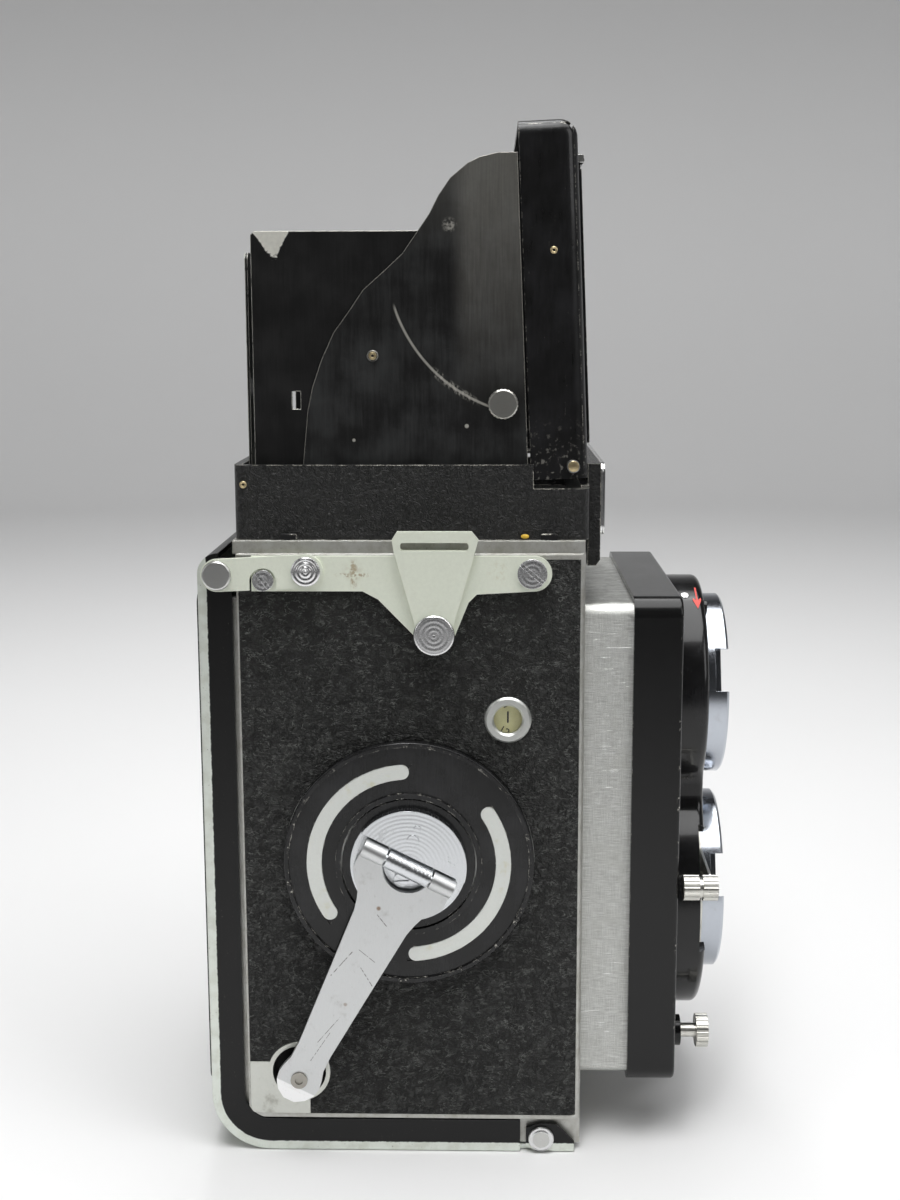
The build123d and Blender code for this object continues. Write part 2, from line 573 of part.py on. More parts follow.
with BuildPart() as crank_arm:
    for y in (-7.5, 7.5):
        with BuildSketch(Plane(origin=crank_face.from_local_coords((0, y - 2.4, 4.2)),
                               x_dir=crank_face.x_dir, z_dir=crank_face.y_dir)):
            Circle(1.85)
        extrude(amount=4.8)
    with BuildSketch(crank_face.offset(2.9)):
        with BuildLine():
            head = [(10.9 * math.cos(math.radians(t)), 10.9 * math.sin(math.radians(t)))
                    for t in (65, 58, 51, 45, 40)]
            edge = [(10.4, 6.3), (12.6, 5.8), (16.5, 5.5), (28.5, 4.6), (42.8, 3.55), (46.4, 3.6),
                    (48.4, 4.2), (50.2, 4.5), (52.0, 4.2), (54.0, 3.0), (55.4, 1.2)]
            outline = [(0.0, 9.9)] + head + edge
            Polyline(*outline, *[(x, -y) for x, y in reversed(outline)], close=True)
        make_face()
        Circle(5.1, mode=Mode.SUBTRACT)
    extrude(amount=1.3)
    # bright sloping tip
    with BuildSketch(Plane(origin=crank_face.from_local_coords((0, -6, 0)),
                           x_dir=crank_face.x_dir, z_dir=crank_face.y_dir)):
        with BuildLine():
            Polyline((51.9, -4.4), (57, -4.4), (57, -3.0), close=True)
        make_face()
    extrude(amount=12, mode=Mode.SUBTRACT)
    with BuildSketch(Plane(origin=crank_face.from_local_coords((0, -14, 4.2)),
                           x_dir=crank_face.x_dir, z_dir=crank_face.y_dir)):
        Circle(0.85)
    extrude(amount=28, mode=Mode.SUBTRACT)
    with BuildSketch(crank_face.offset(2)):
        with Locations((crank_len, 0)):
            Circle(1.2)
    extrude(amount=4, mode=Mode.SUBTRACT)
save(crank_arm, "crank_arm")

with BuildPart() as crank_knob:
    with BuildSketch(crank_face.offset(-1.1)):
        with Locations((crank_len, 0)):
            Circle(2.4)
    extrude(amount=4.0)
    fillet(crank_knob.edges().filter_by(GeomType.CIRCLE).sort_by(Axis.X)[-1], radius=0.5)
    with BuildSketch(crank_face.offset(2.9)):
        with Locations((crank_len, 0)):
            Circle(1.2)
    extrude(amount=1.3)
    with BuildSketch(crank_face.offset(4.2)):
        with Locations((crank_len, 0)):
            Circle(1.7)
            Circle(0.8, mode=Mode.SUBTRACT)
    extrude(amount=0.4)
save(crank_knob, "crank_knob")


# ---------------------------------------------------------------- lens standard
with BuildPart() as light_shroud:
    with BuildSketch(front(-35.9)):
        with Locations((0, (panel_low + panel_high) / 2)):
            RectangleRounded(2 * shroud_half, panel_high - panel_low - 2.6, 2.5)
            RectangleRounded(2 * shroud_half - 2 * skin, panel_high - panel_low - 2.6 - 2 * skin, 1.5,
                             mode=Mode.SUBTRACT)
    extrude(amount=13.5)
save(light_shroud, "light_shroud")

with BuildPart() as front_panel:
    with BuildSketch(front(panel_back)):
        with Locations((0, (panel_low + panel_high) / 2)):
            RectangleRounded(2 * panel_half, panel_high - panel_low, 3.8)
    extrude(amount=panel_back - panel_front)
    with BuildSketch(front(panel_back)):
        with Locations((0, (panel_low + panel_high) / 2)):
            RectangleRounded(2 * shroud_half, panel_high - panel_low - 2.6, 2.5)
    extrude(amount=panel_back - panel_front - 1.8, mode=Mode.SUBTRACT)
    fillet(front_panel.faces().sort_by(Axis.Y)[0].outer_wire().edges(), radius=0.7)
    rod_y(-60, -50, 0, take_z, 15.6, mode=Mode.SUBTRACT)
    rod_y(-60, -50, 0, view_z, 15.6, mode=Mode.SUBTRACT)
    rod_y(-59.4, panel_front, -25.0, 20.5, 3.2)
    rod_y(-60, -50, -25.0, 20.5, 1.5, mode=Mode.SUBTRACT)
save(front_panel, "front_panel")

with BuildPart() as lens_housing:
    with BuildSketch(front(panel_front)):
        with Locations((0, take_z)):
            Circle(27.3)
        with Locations((0, view_z)):
            Circle(23.6)
        with Locations((0, take_z + 25)):
            Rectangle(34.0, 14)
        fillet(vertices().filter_by_position(Axis.Y, take_z + 15, take_z + 35), radius=5.0)
    extrude(amount=7.0)
    fillet(lens_housing.faces().sort_by(Axis.Y)[0].outer_wire().edges(), radius=1.4)
    rod_y(-70, -50, 0, take_z, 15.6, mode=Mode.SUBTRACT)
    rod_y(-70, -50, 0, view_z, 15.6, mode=Mode.SUBTRACT)
    # shallow ring seat for the two setting levers round the taking lens
    rod_y(-70, -63.0, 0, take_z, 23.9, mode=Mode.SUBTRACT)
    rod_y(-64.4, -62.0, 0, take_z, 18.4)
    rod_y(-70, -50, 0, take_z, 15.6, mode=Mode.SUBTRACT)
    for sign in (-1, 1):
        with BuildSketch(front(-63.0)):
            with BuildLine():
                a = math.radians(14)
                c, s = math.cos(a), math.sin(a)
                Polyline((0, take_z), (sign * 40 * math.cos(math.radians(-16)),
                                       take_z + 40 * math.sin(math.radians(-16))),
                         (sign * 40 * math.cos(math.radians(42)),
                          take_z + 40 * math.sin(math.radians(42))), close=True)
            make_face()
            with Locations((0, take_z)):
                Circle(18.4, mode=Mode.SUBTRACT)
        extrude(amount=4, mode=Mode.SUBTRACT)
    for x, z in ((-10.5, view_z + 18.4), (10.5, view_z + 18.4)):
        rod_y(-64.9, -64.3, x, z, 1.6)
        span(x - 1.2, x + 1.2, -65.2, -64.6, z - 0.2, z + 0.2, mode=Mode.SUBTRACT)
save(lens_housing, "lens_housing")

for name, z in (("bayonet_ring_viewing", view_z), ("bayonet_ring_taking", take_z)):
    with BuildPart() as ring:
        rod_y(-69.0, -64.4, 0, z, 19.5)
        chamfer(ring.edges().filter_by(GeomType.CIRCLE).sort_by(Axis.Y)[0], length=0.5)
        rod_y(-70, -60, 0, z, 16.9, mode=Mode.SUBTRACT)
        rod_y(-70, -67.6, 0, z, 17.6, mode=Mode.SUBTRACT)
        rod_y(-66.4, -65.2, 0, z, 18.4, mode=Mode.SUBTRACT)
        for i in range(3):
            with Locations(Pos(0, 0, z) * Rot(0, 120 * i + 20, 0) * Pos(-18.6, -68.4, 0)):
                Box(3.2, 4.4, 9.0, mode=Mode.SUBTRACT)
    save(ring, name)

for name, z, depth in (("viewing_lens_barrel", view_z, -42.5), ("taking_lens_barrel", take_z, -42.5)):
    with BuildPart() as barrel:
        rod_y(-66.6, -64.4, 0, z, 16.8)
        rod_y(-66.6, -50, 0, z, 15.5)
        rod_y(-50, depth, 0, z, 13.6)
        if z > take_z + 1:
            rod_y(-67, -40, 0, z, 12.4, mode=Mode.SUBTRACT)
            rod_y(-67, -61.4, 0, z, 14.6, mode=Mode.SUBTRACT)
            with Locations((0, -65.1, z)):
                Cone(16.2, 14.6, 3.2, rotation=(-90, 0, 0), mode=Mode.SUBTRACT)
        else:
            rod_y(-67, -40, 0, z, 9.0, mode=Mode.SUBTRACT)
            with Locations((0, -64.6, z)):
                Cone(16.0, 10.4, 4.4, rotation=(-90, 0, 0), mode=Mode.SUBTRACT)
            rod_y(-63, -59.6, 0, z, 10.4, mode=Mode.SUBTRACT)
            rod_y(-51.4, -40, 0, z, 11.0, mode=Mode.SUBTRACT)
    save(barrel, name)


def lens(z, y_front, y_back, r, front_r, back_r):
    """Round glass: positive radii bulge outwards."""
    mid_front, mid_back = y_front + (front_r - math.sqrt(front_r**2 - r**2)), y_back
    body = Pos(0, (mid_front + mid_back) / 2, z) * Rot(90, 0, 0) * Cylinder(r, mid_back - mid_front)
    dome = Pos(0, y_front + front_r, z) * Sphere(front_r)
    cap = dome & (Pos(0, (y_front + mid_front) / 2, z) * Rot(90, 0, 0)
                  * Cylinder(r, mid_front - y_front))
    glass = body + cap
    if back_r:
        glass = glass - Pos(0, y_back + math.sqrt(back_r**2 - (r - 1) ** 2), z) * Sphere(back_r)
    return glass


def save_glass(shape, name):
    shape.label = name
    export_step(shape, f"parts/{name}.step")


save_glass(lens(view_z, -65.0, -61.4, 14.55, 42.0, 0), "viewing_front_glass")
save_glass(lens(take_z, -62.6, -59.6, 10.35, 30.0, 0), "taking_front_glass")
save_glass(Compound(children=[lens(view_z, -49.0, -45.0, 12.35, 60.0, 0),
                              lens(take_z, -51.2, -47.0, 10.95, 60.0, 0)]), "rear_glasses")

with BuildPart() as shutter_blades:
    for i in range(5):
        with BuildSketch(front(-57.0 - 0.0)):
            with BuildLine():
                a0, a1 = math.radians(72 * i + 1.0), math.radians(72 * i + 71.0)
                c = (0.12 * math.cos((a0 + a1) / 2), take_z + 0.12 * math.sin((a0 + a1) / 2))
                Polyline(c, (8.9 * math.cos(a0), take_z + 8.9 * math.sin(a0)),
                         (8.9 * math.cos((a0 + a1) / 2), take_z + 8.9 * math.sin((a0 + a1) / 2)),
                         (8.9 * math.cos(a1), take_z + 8.9 * math.sin(a1)), close=True)
            make_face()
        extrude(amount=0.2)
save(shutter_blades, "shutter_blades")

with BuildPart() as shutter_case:
    rod_y(-53.4, -50.2, 0, take_z, 30.0)
    span(-40, 40, -54, -49, 0, panel_low + 1.5, mode=Mode.SUBTRACT)
    rod_y(-60, -40, 0, take_z, 15.6, mode=Mode.SUBTRACT)
    rod_y(-60, -40, 0, view_z, 15.6, mode=Mode.SUBTRACT)
    rod_y(-60, -40, -25, 20.5, 3.0, mode=Mode.SUBTRACT)
save(shutter_case, "shutter_case")

# setting levers: a thin ring round the taking lens with an arm and a knurled tip
for name, sign, y0 in (("speed_lever", -1, -64.3), ("aperture_lever", 1, -63.7)):
    with BuildPart() as lever:
        with BuildSketch(front(y0 + 0.5)):
            with Locations((0, take_z)):
                Circle(20.6)
            with BuildLine():
                Polyline((sign * 17, take_z + 3.0), (sign * 34.0, take_z + 7.6),
                         (sign * 33.0, take_z + 11.6), (sign * 16, take_z + 12.0), close=True)
            make_face()
            with Locations((0, take_z)):
                Circle(18.45, mode=Mode.SUBTRACT)
        extrude(amount=0.5)
        rod_y(-65.4, -58.5, sign * 33.5, take_z + 9.2, 2.6)
        rod_y(-62.4, -61.7, sign * 33.5, take_z + 9.2, 3.2, mode=Mode.SUBTRACT)
        rod_y(-62.5, -61.6, sign * 33.5, take_z + 9.2, 2.1)
        for i in range(16):
            a = math.radians(22.5 * i)
            rod_y(-66, -58, sign * 33.5 + 2.75 * math.cos(a), take_z + 9.2 + 2.75 * math.sin(a), 0.3,
                  mode=Mode.SUBTRACT)
    save(lever, name)

with BuildPart() as release_button:
    rod_y(-64.0, -55.0, -25.0, 20.5, 1.45)
    rod_y(-65.2, -62.7, -25.0, 20.5, 3.5)
    rod_y(-66, -64.6, -25.0, 20.5, 1.6, mode=Mode.SUBTRACT)
    for i in range(20):
        a = math.radians(18 * i)
        rod_y(-66, -62, -25 + 3.62 * math.cos(a), 20.5 + 3.62 * math.sin(a), 0.28, mode=Mode.SUBTRACT)
save(release_button, "release_button")


# ---------------------------------------------------------------- folding hood
lean = 2.4
lid_axis = Axis((0, -36.2, rim_z - 0.5), (1, 0, 0))


def tilt(builder, name):
    """Lean the lid's pieces back and write them."""
    piece = builder.part.rotate(lid_axis, -lean)
    piece.label = name
    export_step(piece, f"parts/{name}.step")


lid_low, lid_high = rim_z - 2.9, rim_z + 65.0
with BuildPart() as hood_lid:
    span(-34.3, 34.3, -38.2, -27.0, lid_low, lid_high)
    fillet(hood_lid.edges().filter_by(Axis.X).sort_by(Axis.Y)[:2].sort_by(Axis.Z)[-1], radius=3.4)
    fillet(hood_lid.edges().filter_by(Axis.Z).sort_by(Axis.Y)[:2], radius=2.6)
    span(-33.5, 33.5, -37.4, -20, lid_low + 0.8, lid_high - 0.8, mode=Mode.SUBTRACT)
    span(-30, 30, -37.4, -20, lid_low - 1, lid_low + 2, mode=Mode.SUBTRACT)
    span(-21, 21, -40, -35, rim_z + 7, rim_z + 54, mode=Mode.SUBTRACT)
    for sign in (-1, 1):
        rod_x(sign * 33, sign * 35, -35.3, rim_z - 0.5, 1.25, mode=Mode.SUBTRACT)
tilt(hood_lid, "hood_lid")

with BuildPart() as lid_pins:
    for sign in (-1, 1):
        rod_x(sign * 32.9, sign * 35.3, -35.3, rim_z - 0.5, 1.2)
        rod_x(sign * 32.6, sign * 33.5, -35.3, rim_z - 0.5, 1.5)
    rod_x(-23.0, 23.0, -39.15, rim_z + 58.4, 0.4)
    rod_x(-12.4, 12.4, -32.6, rim_z + 60.0, 0.5)
    for sign in (-1, 1):
        span(*sorted((sign * 20.4, sign * 23.0)), -39.8, -38.2, rim_z + 57.8, rim_z + 59.2)
        span(*sorted((sign * 10.3, sign * 12.4)), -37.4, -31.6, rim_z + 59.2, rim_z + 60.8)
tilt(lid_pins, "lid_pins")

with BuildPart() as finder_flap:
    span(-24, 24, -39.2, -38.3, rim_z + 3, rim_z + 57.6)
    fillet(finder_flap.edges().filter_by(Axis.Y), radius=2.0)
    for sign in (-1, 1):
        span(*sorted((sign * 20.05, sign * 25)), -40, -38, rim_z + 56.4, rim_z + 58,
             mode=Mode.SUBTRACT)
    rod_x(-20, 20, -39.15, rim_z + 58.4, 0.9)
    rod_x(-30, 30, -39.15, rim_z + 58.4, 0.45, mode=Mode.SUBTRACT)
tilt(finder_flap, "finder_flap")

with BuildPart() as magnifier_arm:
    with BuildSketch(front(-31.2)):
        with Locations((0, rim_z + 40)):
            Circle(14.5)
        with Locations((0, rim_z + 50)):
            Rectangle(20, 20)
        with Locations((0, rim_z + 40)):
            Circle(12.1, mode=Mode.SUBTRACT)
    extrude(amount=1.6)
    rod_x(-10, 10, -32.6, rim_z + 60.0, 1.1)
    rod_x(-30, 30, -32.6, rim_z + 60.0, 0.55, mode=Mode.SUBTRACT)
tilt(magnifier_arm, "magnifier_arm")

with BuildPart() as magnifier_glass:
    rod_y(-33.2, -30.8, 0, rim_z + 40, 12.05)
    fillet(magnifier_glass.edges().filter_by(GeomType.CIRCLE), radius=0.6)
tilt(magnifier_glass, "magnifier_glass")

# side walls: each is an outer sector riveted to an inner straight panel
sector = ((-24.2, 58.6), (-20.5, 58.6), (-17.1, 57.8), (-14.8, 56.7), (-11.5, 54.0), (-9.2, 50.7),
          (-7.5, 47.4), (-5.2, 44.1), (-2.3, 40.0), (1.1, 36.9), (5.2, 33.3), (8.1, 29.1),
          (11.0, 25.2), (13.4, 20.0), (15.2, 14.9), (16.2, 10.3), (17.2, 0.5))
for tag, sign, drop in (("crank", -1, 2.3), ("knob", 1, 4.5)):
    hz = rim_z - drop
    with BuildPart() as outer_plate:
        a, b = sorted((sign * 34.4, sign * 34.9))
        with BuildSketch(side(a)):
            with BuildLine():
                Polyline(*[(y, rim_z + h) for y, h in sector], (17.2, hz + 1.2), (-26.5, hz + 1.2),
                         close=True)
            make_face()
        extrude(amount=0.5)
        rod_x(sign * 34.8, sign * 35.25, 3.5, rim_z + 20.8, 1.0)
    save(outer_plate, f"hood_sector_{tag}")
    with BuildPart() as inner_plate:
        a, b = sorted((sign * 33.9, sign * 34.4))
        with BuildSketch(side(a)):
            with BuildLine():
                Polyline((26.7, hz + 1.2), (26.7, rim_z + 43.6), (26.0, rim_z + 44.3),
                         (-22.0, rim_z + 44.3), (-22.0, hz + 1.2), close=True)
            make_face()
            with Locations((18.4, rim_z + 12.3)):
                Rectangle(1.6, 3.4, mode=Mode.SUBTRACT)
        extrude(amount=0.5)
        with Locations((sign * 34.15, 0.8, hz + 0.9)):
            Box(0.5, 45.6, 1.0)
        with Locations((sign * 34.2, 0.8, hz)):
            Cylinder(0.95, 45.6, rotation=(90, 0, 0))
            Cylinder(0.5, 60, rotation=(90, 0, 0), mode=Mode.SUBTRACT)
    save(inner_plate, f"hood_panel_{tag}")

with BuildPart() as hood_knob:
    rod_x(-37.4, -34.9, -21.6, rim_z + 11.6, 2.9)
    chamfer(hood_knob.edges().filter_by(GeomType.CIRCLE).sort_by(Axis.X)[0], length=0.3)
    for i in range(24):
        a = math.radians(15 * i)
        rod_x(-38, -34.9, -21.6 + 3.0 * math.cos(a), rim_z + 11.6 + 3.0 * math.sin(a), 0.22,
              mode=Mode.SUBTRACT)
save(hood_knob, "hood_knob")

with BuildPart() as hood_rear_wall:
    hz = rim_z - 6.8
    span(-31.5, 31.5, 27.7, 28.3, hz + 0.8, rim_z + 40.5)
    fillet(hood_rear_wall.edges().filter_by(Axis.Y).sort_by(Axis.Z)[-2:], radius=1.5)
    rod_x(-30.0, 30.0, 28.0, hz, 0.95)
    span(-30.0, 30.0, 27.7, 28.3, hz + 0.3, hz + 1.2)
    rod_x(-40, 40, 28.0, hz, 0.5, mode=Mode.SUBTRACT)
save(hood_rear_wall, "hood_rear_wall")

with BuildPart() as hood_pins:
    rod_x(-33.0, 33.0, 28.0, rim_z - 6.8, 0.44)
    for sign in (-1, 1):
        span(*sorted((sign * 31.9, sign * 33.0)), 27.0, 29.1, rim_z - 7.8, rim_z - 5.8)
    for sign, drop in ((-1, 2.3), (1, 4.5)):
        rod_y(-24.2, 25.8, sign * 34.2, rim_z - drop, 0.44)
        for y in (-24.2, 24.6):
            span(*sorted((sign * 33.3, sign * 35.7)), y, y + 1.2, rim_z - drop - 0.9,
                 rim_z - drop + 0.6)
save(hood_pins, "hood_pins")
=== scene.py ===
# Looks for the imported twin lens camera: finishes, small trim, light and camera.
import math
import bmesh
import bpy
from mathutils import Matrix, Vector


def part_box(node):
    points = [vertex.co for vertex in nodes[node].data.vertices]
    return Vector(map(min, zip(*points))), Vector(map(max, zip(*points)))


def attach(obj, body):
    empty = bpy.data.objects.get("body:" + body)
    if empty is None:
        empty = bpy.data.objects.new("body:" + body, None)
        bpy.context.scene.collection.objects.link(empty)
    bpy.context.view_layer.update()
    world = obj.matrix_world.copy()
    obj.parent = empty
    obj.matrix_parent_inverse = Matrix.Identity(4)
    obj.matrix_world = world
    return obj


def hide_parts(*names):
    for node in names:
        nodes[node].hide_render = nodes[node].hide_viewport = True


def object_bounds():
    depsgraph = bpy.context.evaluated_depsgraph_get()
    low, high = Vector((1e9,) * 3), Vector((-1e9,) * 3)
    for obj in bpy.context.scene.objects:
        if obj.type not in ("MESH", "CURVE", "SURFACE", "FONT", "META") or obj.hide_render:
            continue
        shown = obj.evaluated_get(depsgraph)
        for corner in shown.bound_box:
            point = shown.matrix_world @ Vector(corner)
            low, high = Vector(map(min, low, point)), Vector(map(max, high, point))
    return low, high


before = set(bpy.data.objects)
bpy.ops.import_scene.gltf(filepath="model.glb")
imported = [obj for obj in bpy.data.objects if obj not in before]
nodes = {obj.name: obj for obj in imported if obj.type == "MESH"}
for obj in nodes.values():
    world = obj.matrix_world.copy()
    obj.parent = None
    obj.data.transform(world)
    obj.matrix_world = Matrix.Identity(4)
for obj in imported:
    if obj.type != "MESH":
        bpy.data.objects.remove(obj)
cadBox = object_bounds()
mm = 0.001
print("frame loaded:", len(nodes), "nodes")


# Camera looks along +X at the crank side, a little down.
def makeCamera():
    view = {"lens": 48.6, "place": (-0.3494, -0.019, 0.169), "yaw": -1.411, "pitch": -9.8,
            "roll": -0.164}
    lens = bpy.data.cameras.new("studioCamera")
    lens.lens = view["lens"]
    lens.sensor_width = 36
    lens.clip_start, lens.clip_end = 0.01, 20
    camera = bpy.data.objects.new("studioCamera", lens)
    bpy.context.scene.collection.objects.link(camera)
    yaw, pitch, roll = (math.radians(view[k]) for k in ("yaw", "pitch", "roll"))
    forward = Vector((math.cos(yaw), -math.sin(yaw), 0))
    right = forward.cross(Vector((0, 0, 1)))
    forward = forward * math.cos(pitch) + Vector((0, 0, 1)) * math.sin(pitch)
    up = right.cross(forward)
    right, up = (right * math.cos(roll) + up * math.sin(roll),
                 up * math.cos(roll) - right * math.sin(roll))
    turn = Matrix((right, up, -forward)).transposed().to_4x4()
    camera.matrix_world = Matrix.Translation(view["place"]) @ turn
    bpy.context.scene.camera = camera


makeCamera()


# Shader maths: the two forms of an operator, wire first or wire second.
def both(operation):
    def forward(self, other):
        return self.finish.node("ShaderNodeMath", {"operation": operation}, {0: self, 1: other})

    def backward(self, other):
        return self.finish.node("ShaderNodeMath", {"operation": operation}, {0: other, 1: self})
    return forward, backward


class Wire:  # a socket that can stand in a sum
    def __init__(self, finish, socket):
        self.finish, self.socket = finish, socket

    __add__, __radd__ = both("ADD")
    __sub__, __rsub__ = both("SUBTRACT")
    __mul__, __rmul__ = both("MULTIPLY")
    lower, _ = both("MINIMUM")
    higher, _ = both("MAXIMUM")

    def __abs__(self):
        return self.finish.node("ShaderNodeMath", {"operation": "ABSOLUTE"}, {0: self})

    def sine(self):
        return self.finish.node("ShaderNodeMath", {"operation": "SINE"}, {0: self})


class Finish:  # one procedural material, measured in millimetres
    def __init__(self, name, fixed=None):
        self.material = bpy.data.materials.new(name)
        self.material.use_nodes = True
        self.tree = self.material.node_tree
        self.shader = self.tree.nodes["Principled BSDF"]
        for socket, value in (fixed or {}).items():
            self.shader.inputs[socket].default_value = value
        place = self.node("ShaderNodeTexCoord", {}, {}, "Object")
        self.place = self.node("ShaderNodeVectorMath", {"operation": "SCALE"},
                               {0: place, "Scale": 1000.0})
        split = self.node("ShaderNodeSeparateXYZ", {}, {0: self.place}, None)
        self.x, self.y, self.z = split

    def node(self, kind, settings, sockets, out=0):
        made = self.tree.nodes.new(kind)
        for key, value in settings.items():
            if key == "stops":
                ramp = made.color_ramp
                while len(ramp.elements) < len(value):
                    ramp.elements.new(0.5)
                for stop, (at, colour) in zip(ramp.elements, value):
                    stop.position, stop.color = at, (*colour, 1)
            else:
                setattr(made, key, value)
        for key, value in sockets.items():
            if isinstance(value, Wire):
                self.tree.links.new(value.socket, made.inputs[key])
            else:
                made.inputs[key].default_value = value
        if out is None:
            return [Wire(self, socket) for socket in made.outputs]
        return Wire(self, made.outputs[out])

    def stretched(self, along):  # place scaled on each axis
        return self.node("ShaderNodeVectorMath", {"operation": "MULTIPLY"},
                         {0: self.place, 1: along})

    def noise(self, scale, detail=3.0, rough=0.55, along=None, twist=0.0):
        vector = self.stretched(along) if along else self.place
        return self.node("ShaderNodeTexNoise", {},
                         {"Vector": vector, "Scale": scale, "Detail": detail,
                          "Roughness": rough, "Distortion": twist})

    def cells(self, scale, feature="DISTANCE_TO_EDGE", warp=0.0, grain=1.0):
        vector = self.place
        if warp:
            push = self.node("ShaderNodeTexNoise", {}, {"Vector": self.place, "Scale": grain},
                             "Color")
            push = self.node("ShaderNodeVectorMath", {"operation": "SCALE"},
                             {0: push, "Scale": warp})
            vector = self.node("ShaderNodeVectorMath", {"operation": "ADD"}, {0: vector, 1: push})
        return self.node("ShaderNodeTexVoronoi", {"feature": feature},
                         {"Vector": vector, "Scale": scale})

    def step(self, value, low, high):  # 0 below low, 1 above high
        return self.node("ShaderNodeMapRange", {"interpolation_type": "SMOOTHSTEP"},
                         {"Value": value, "From Min": low, "From Max": high})

    def blend(self, factor, first, second):  # of two colours
        ends = [c if isinstance(c, Wire) else (*c, 1) for c in (first, second)]
        return self.node("ShaderNodeMix", {"data_type": "RGBA"},
                         {0: factor, 6: ends[0], 7: ends[1]}, 2)

    def length(self, first, second):  # of the two sides of a right angle
        square = first * first + second * second
        return self.node("ShaderNodeMath", {"operation": "SQRT"}, {0: square})

    def spot(self, centre):  # distance from a line along X
        return self.length(self.y - centre[0], self.z - centre[1])

    def scratch(self, start, end, width):  # 1 on a thin line in the YZ plane
        (ay, az), (by, bz) = start, end
        dy, dz = by - ay, bz - az
        size = dy * dy + dz * dz
        along = (self.y - ay) * (dy / size) + (self.z - az) * (dz / size)
        along = along.higher(0.0).lower(1.0)
        far = self.length(self.y - ay - along * dy, self.z - az - along * dz)
        return self.step(far, width, width * 0.3)

    def edges(self, radius=0.35, low=0.03, high=0.16):  # 1 on sharp edges
        soft = self.node("ShaderNodeBevel", {"samples": 4}, {"Radius": radius * mm})
        hard = self.node("ShaderNodeNewGeometry", {}, {}, "Normal")
        close = self.node("ShaderNodeVectorMath", {"operation": "DOT_PRODUCT"},
                          {0: soft, 1: hard}, "Value")
        return self.step(1 - close, low, high)

    def relief(self, height, depth, soften=0.15):  # bump over slightly rounded edges
        sockets = {"Height": height, "Distance": depth * mm, "Strength": 1.0}
        if soften:
            sockets["Normal"] = self.node("ShaderNodeBevel", {"samples": 4},
                                          {"Radius": soften * mm})
        self.feed("Normal", self.node("ShaderNodeBump", {}, sockets))

    def feed(self, socket, value):
        if isinstance(value, Wire):
            self.tree.links.new(value.socket, self.shader.inputs[socket])
        else:
            self.shader.inputs[socket].default_value = value


def paint(name, look):  # enamel or paint over metal, worn through at the edges
    values = {"colour": (0.006, 0.006, 0.006), "haze": (0.014, 0.014, 0.015),
              "metal": (0.62, 0.60, 0.54), "rough": 0.22, "coat": 0.15, "gloss": 0.25,
              "dust": 0.12, "grain": 0.9, "depth": 0.02, "lines": (6, 6, 0.25),
              "edge": 0.3, "wear": 0.3, "extra": None}
    values.update(look)
    f = Finish(name, {"Coat Roughness": 0.08, "Specular IOR Level": values["gloss"]})
    cloud = f.noise(0.12, 4)
    smear = f.noise(0.5, 5, 0.7, values["lines"])
    speck = f.step(f.noise(3.2, 2, 0.5), 0.74, 0.8)
    tone = f.blend(f.step(cloud + smear * 0.5, 0.55, 1.05), values["colour"], values["haze"])
    tone = f.blend(speck * values["dust"], tone, (0.22, 0.22, 0.21))
    onset = 0.62 - values["wear"] * 0.5
    bare = f.edges(values["edge"]) * f.step(f.noise(0.7, 4, 0.7), onset,
                                            0.72 - values["wear"] * 0.5)
    # extra marks blend toward the metal colour as well; on the sectors they also carry a painted sheen
    if values["extra"]:
        bare = bare.higher(values["extra"](f))
    metal = f.blend(f.noise(1.3, 3), values["metal"], tuple(c * 0.8 for c in values["metal"]))
    f.feed("Base Color", f.blend(bare, tone, metal))
    f.feed("Metallic", bare)
    f.feed("Roughness", values["rough"] + smear * 0.14 + cloud * 0.06 + bare * 0.15)
    f.feed("Coat Weight", values["coat"] * (1 - bare))
    f.relief(f.noise(values["grain"], 4, 0.6) - bare * 0.3, values["depth"])
    return f


def metal(name, look):  # bare or plated metal with grime and fine lines
    values = {"colour": (0.66, 0.66, 0.64), "rough": 0.3, "grime": 0.25, "metallic": 1.0,
              "lines": (0.3, 8, 8), "depth": 0.006, "dark": (0.20, 0.18, 0.14),
              "stain": None, "spun": None}
    values.update(look)
    f = Finish(name)
    fine = f.noise(1.0, 4, 0.7, values["lines"])
    cloud = f.noise(0.25, 5, 0.65)
    dirt = f.step(cloud, 0.56, 0.78) * values["grime"]
    tone = f.blend(fine, tuple(c * 0.86 for c in values["colour"]), values["colour"])
    tone = f.blend(dirt, tone, values["dark"])
    for mask, colour in (values["stain"](f) if values["stain"] else ()):
        tone = f.blend(mask, tone, colour)
    f.feed("Base Color", tone)
    f.feed("Metallic", values["metallic"])
    f.feed("Roughness", values["rough"] + fine * 0.12 + dirt * 0.3)
    height = fine
    if values["spun"]:
        far = None
        for centre in values["spun"]["centres"]:
            one = f.spot(centre)
            far = one if far is None else far.lower(one)
        height = (far * (math.tau / values["spun"]["pitch"])).sine() + fine
    f.relief(height, values["depth"], 0.12)
    return f


def dress(finish, *names):
    for name in names:
        if name in nodes:
            for socket in nodes[name].material_slots:
                socket.material = finish.material


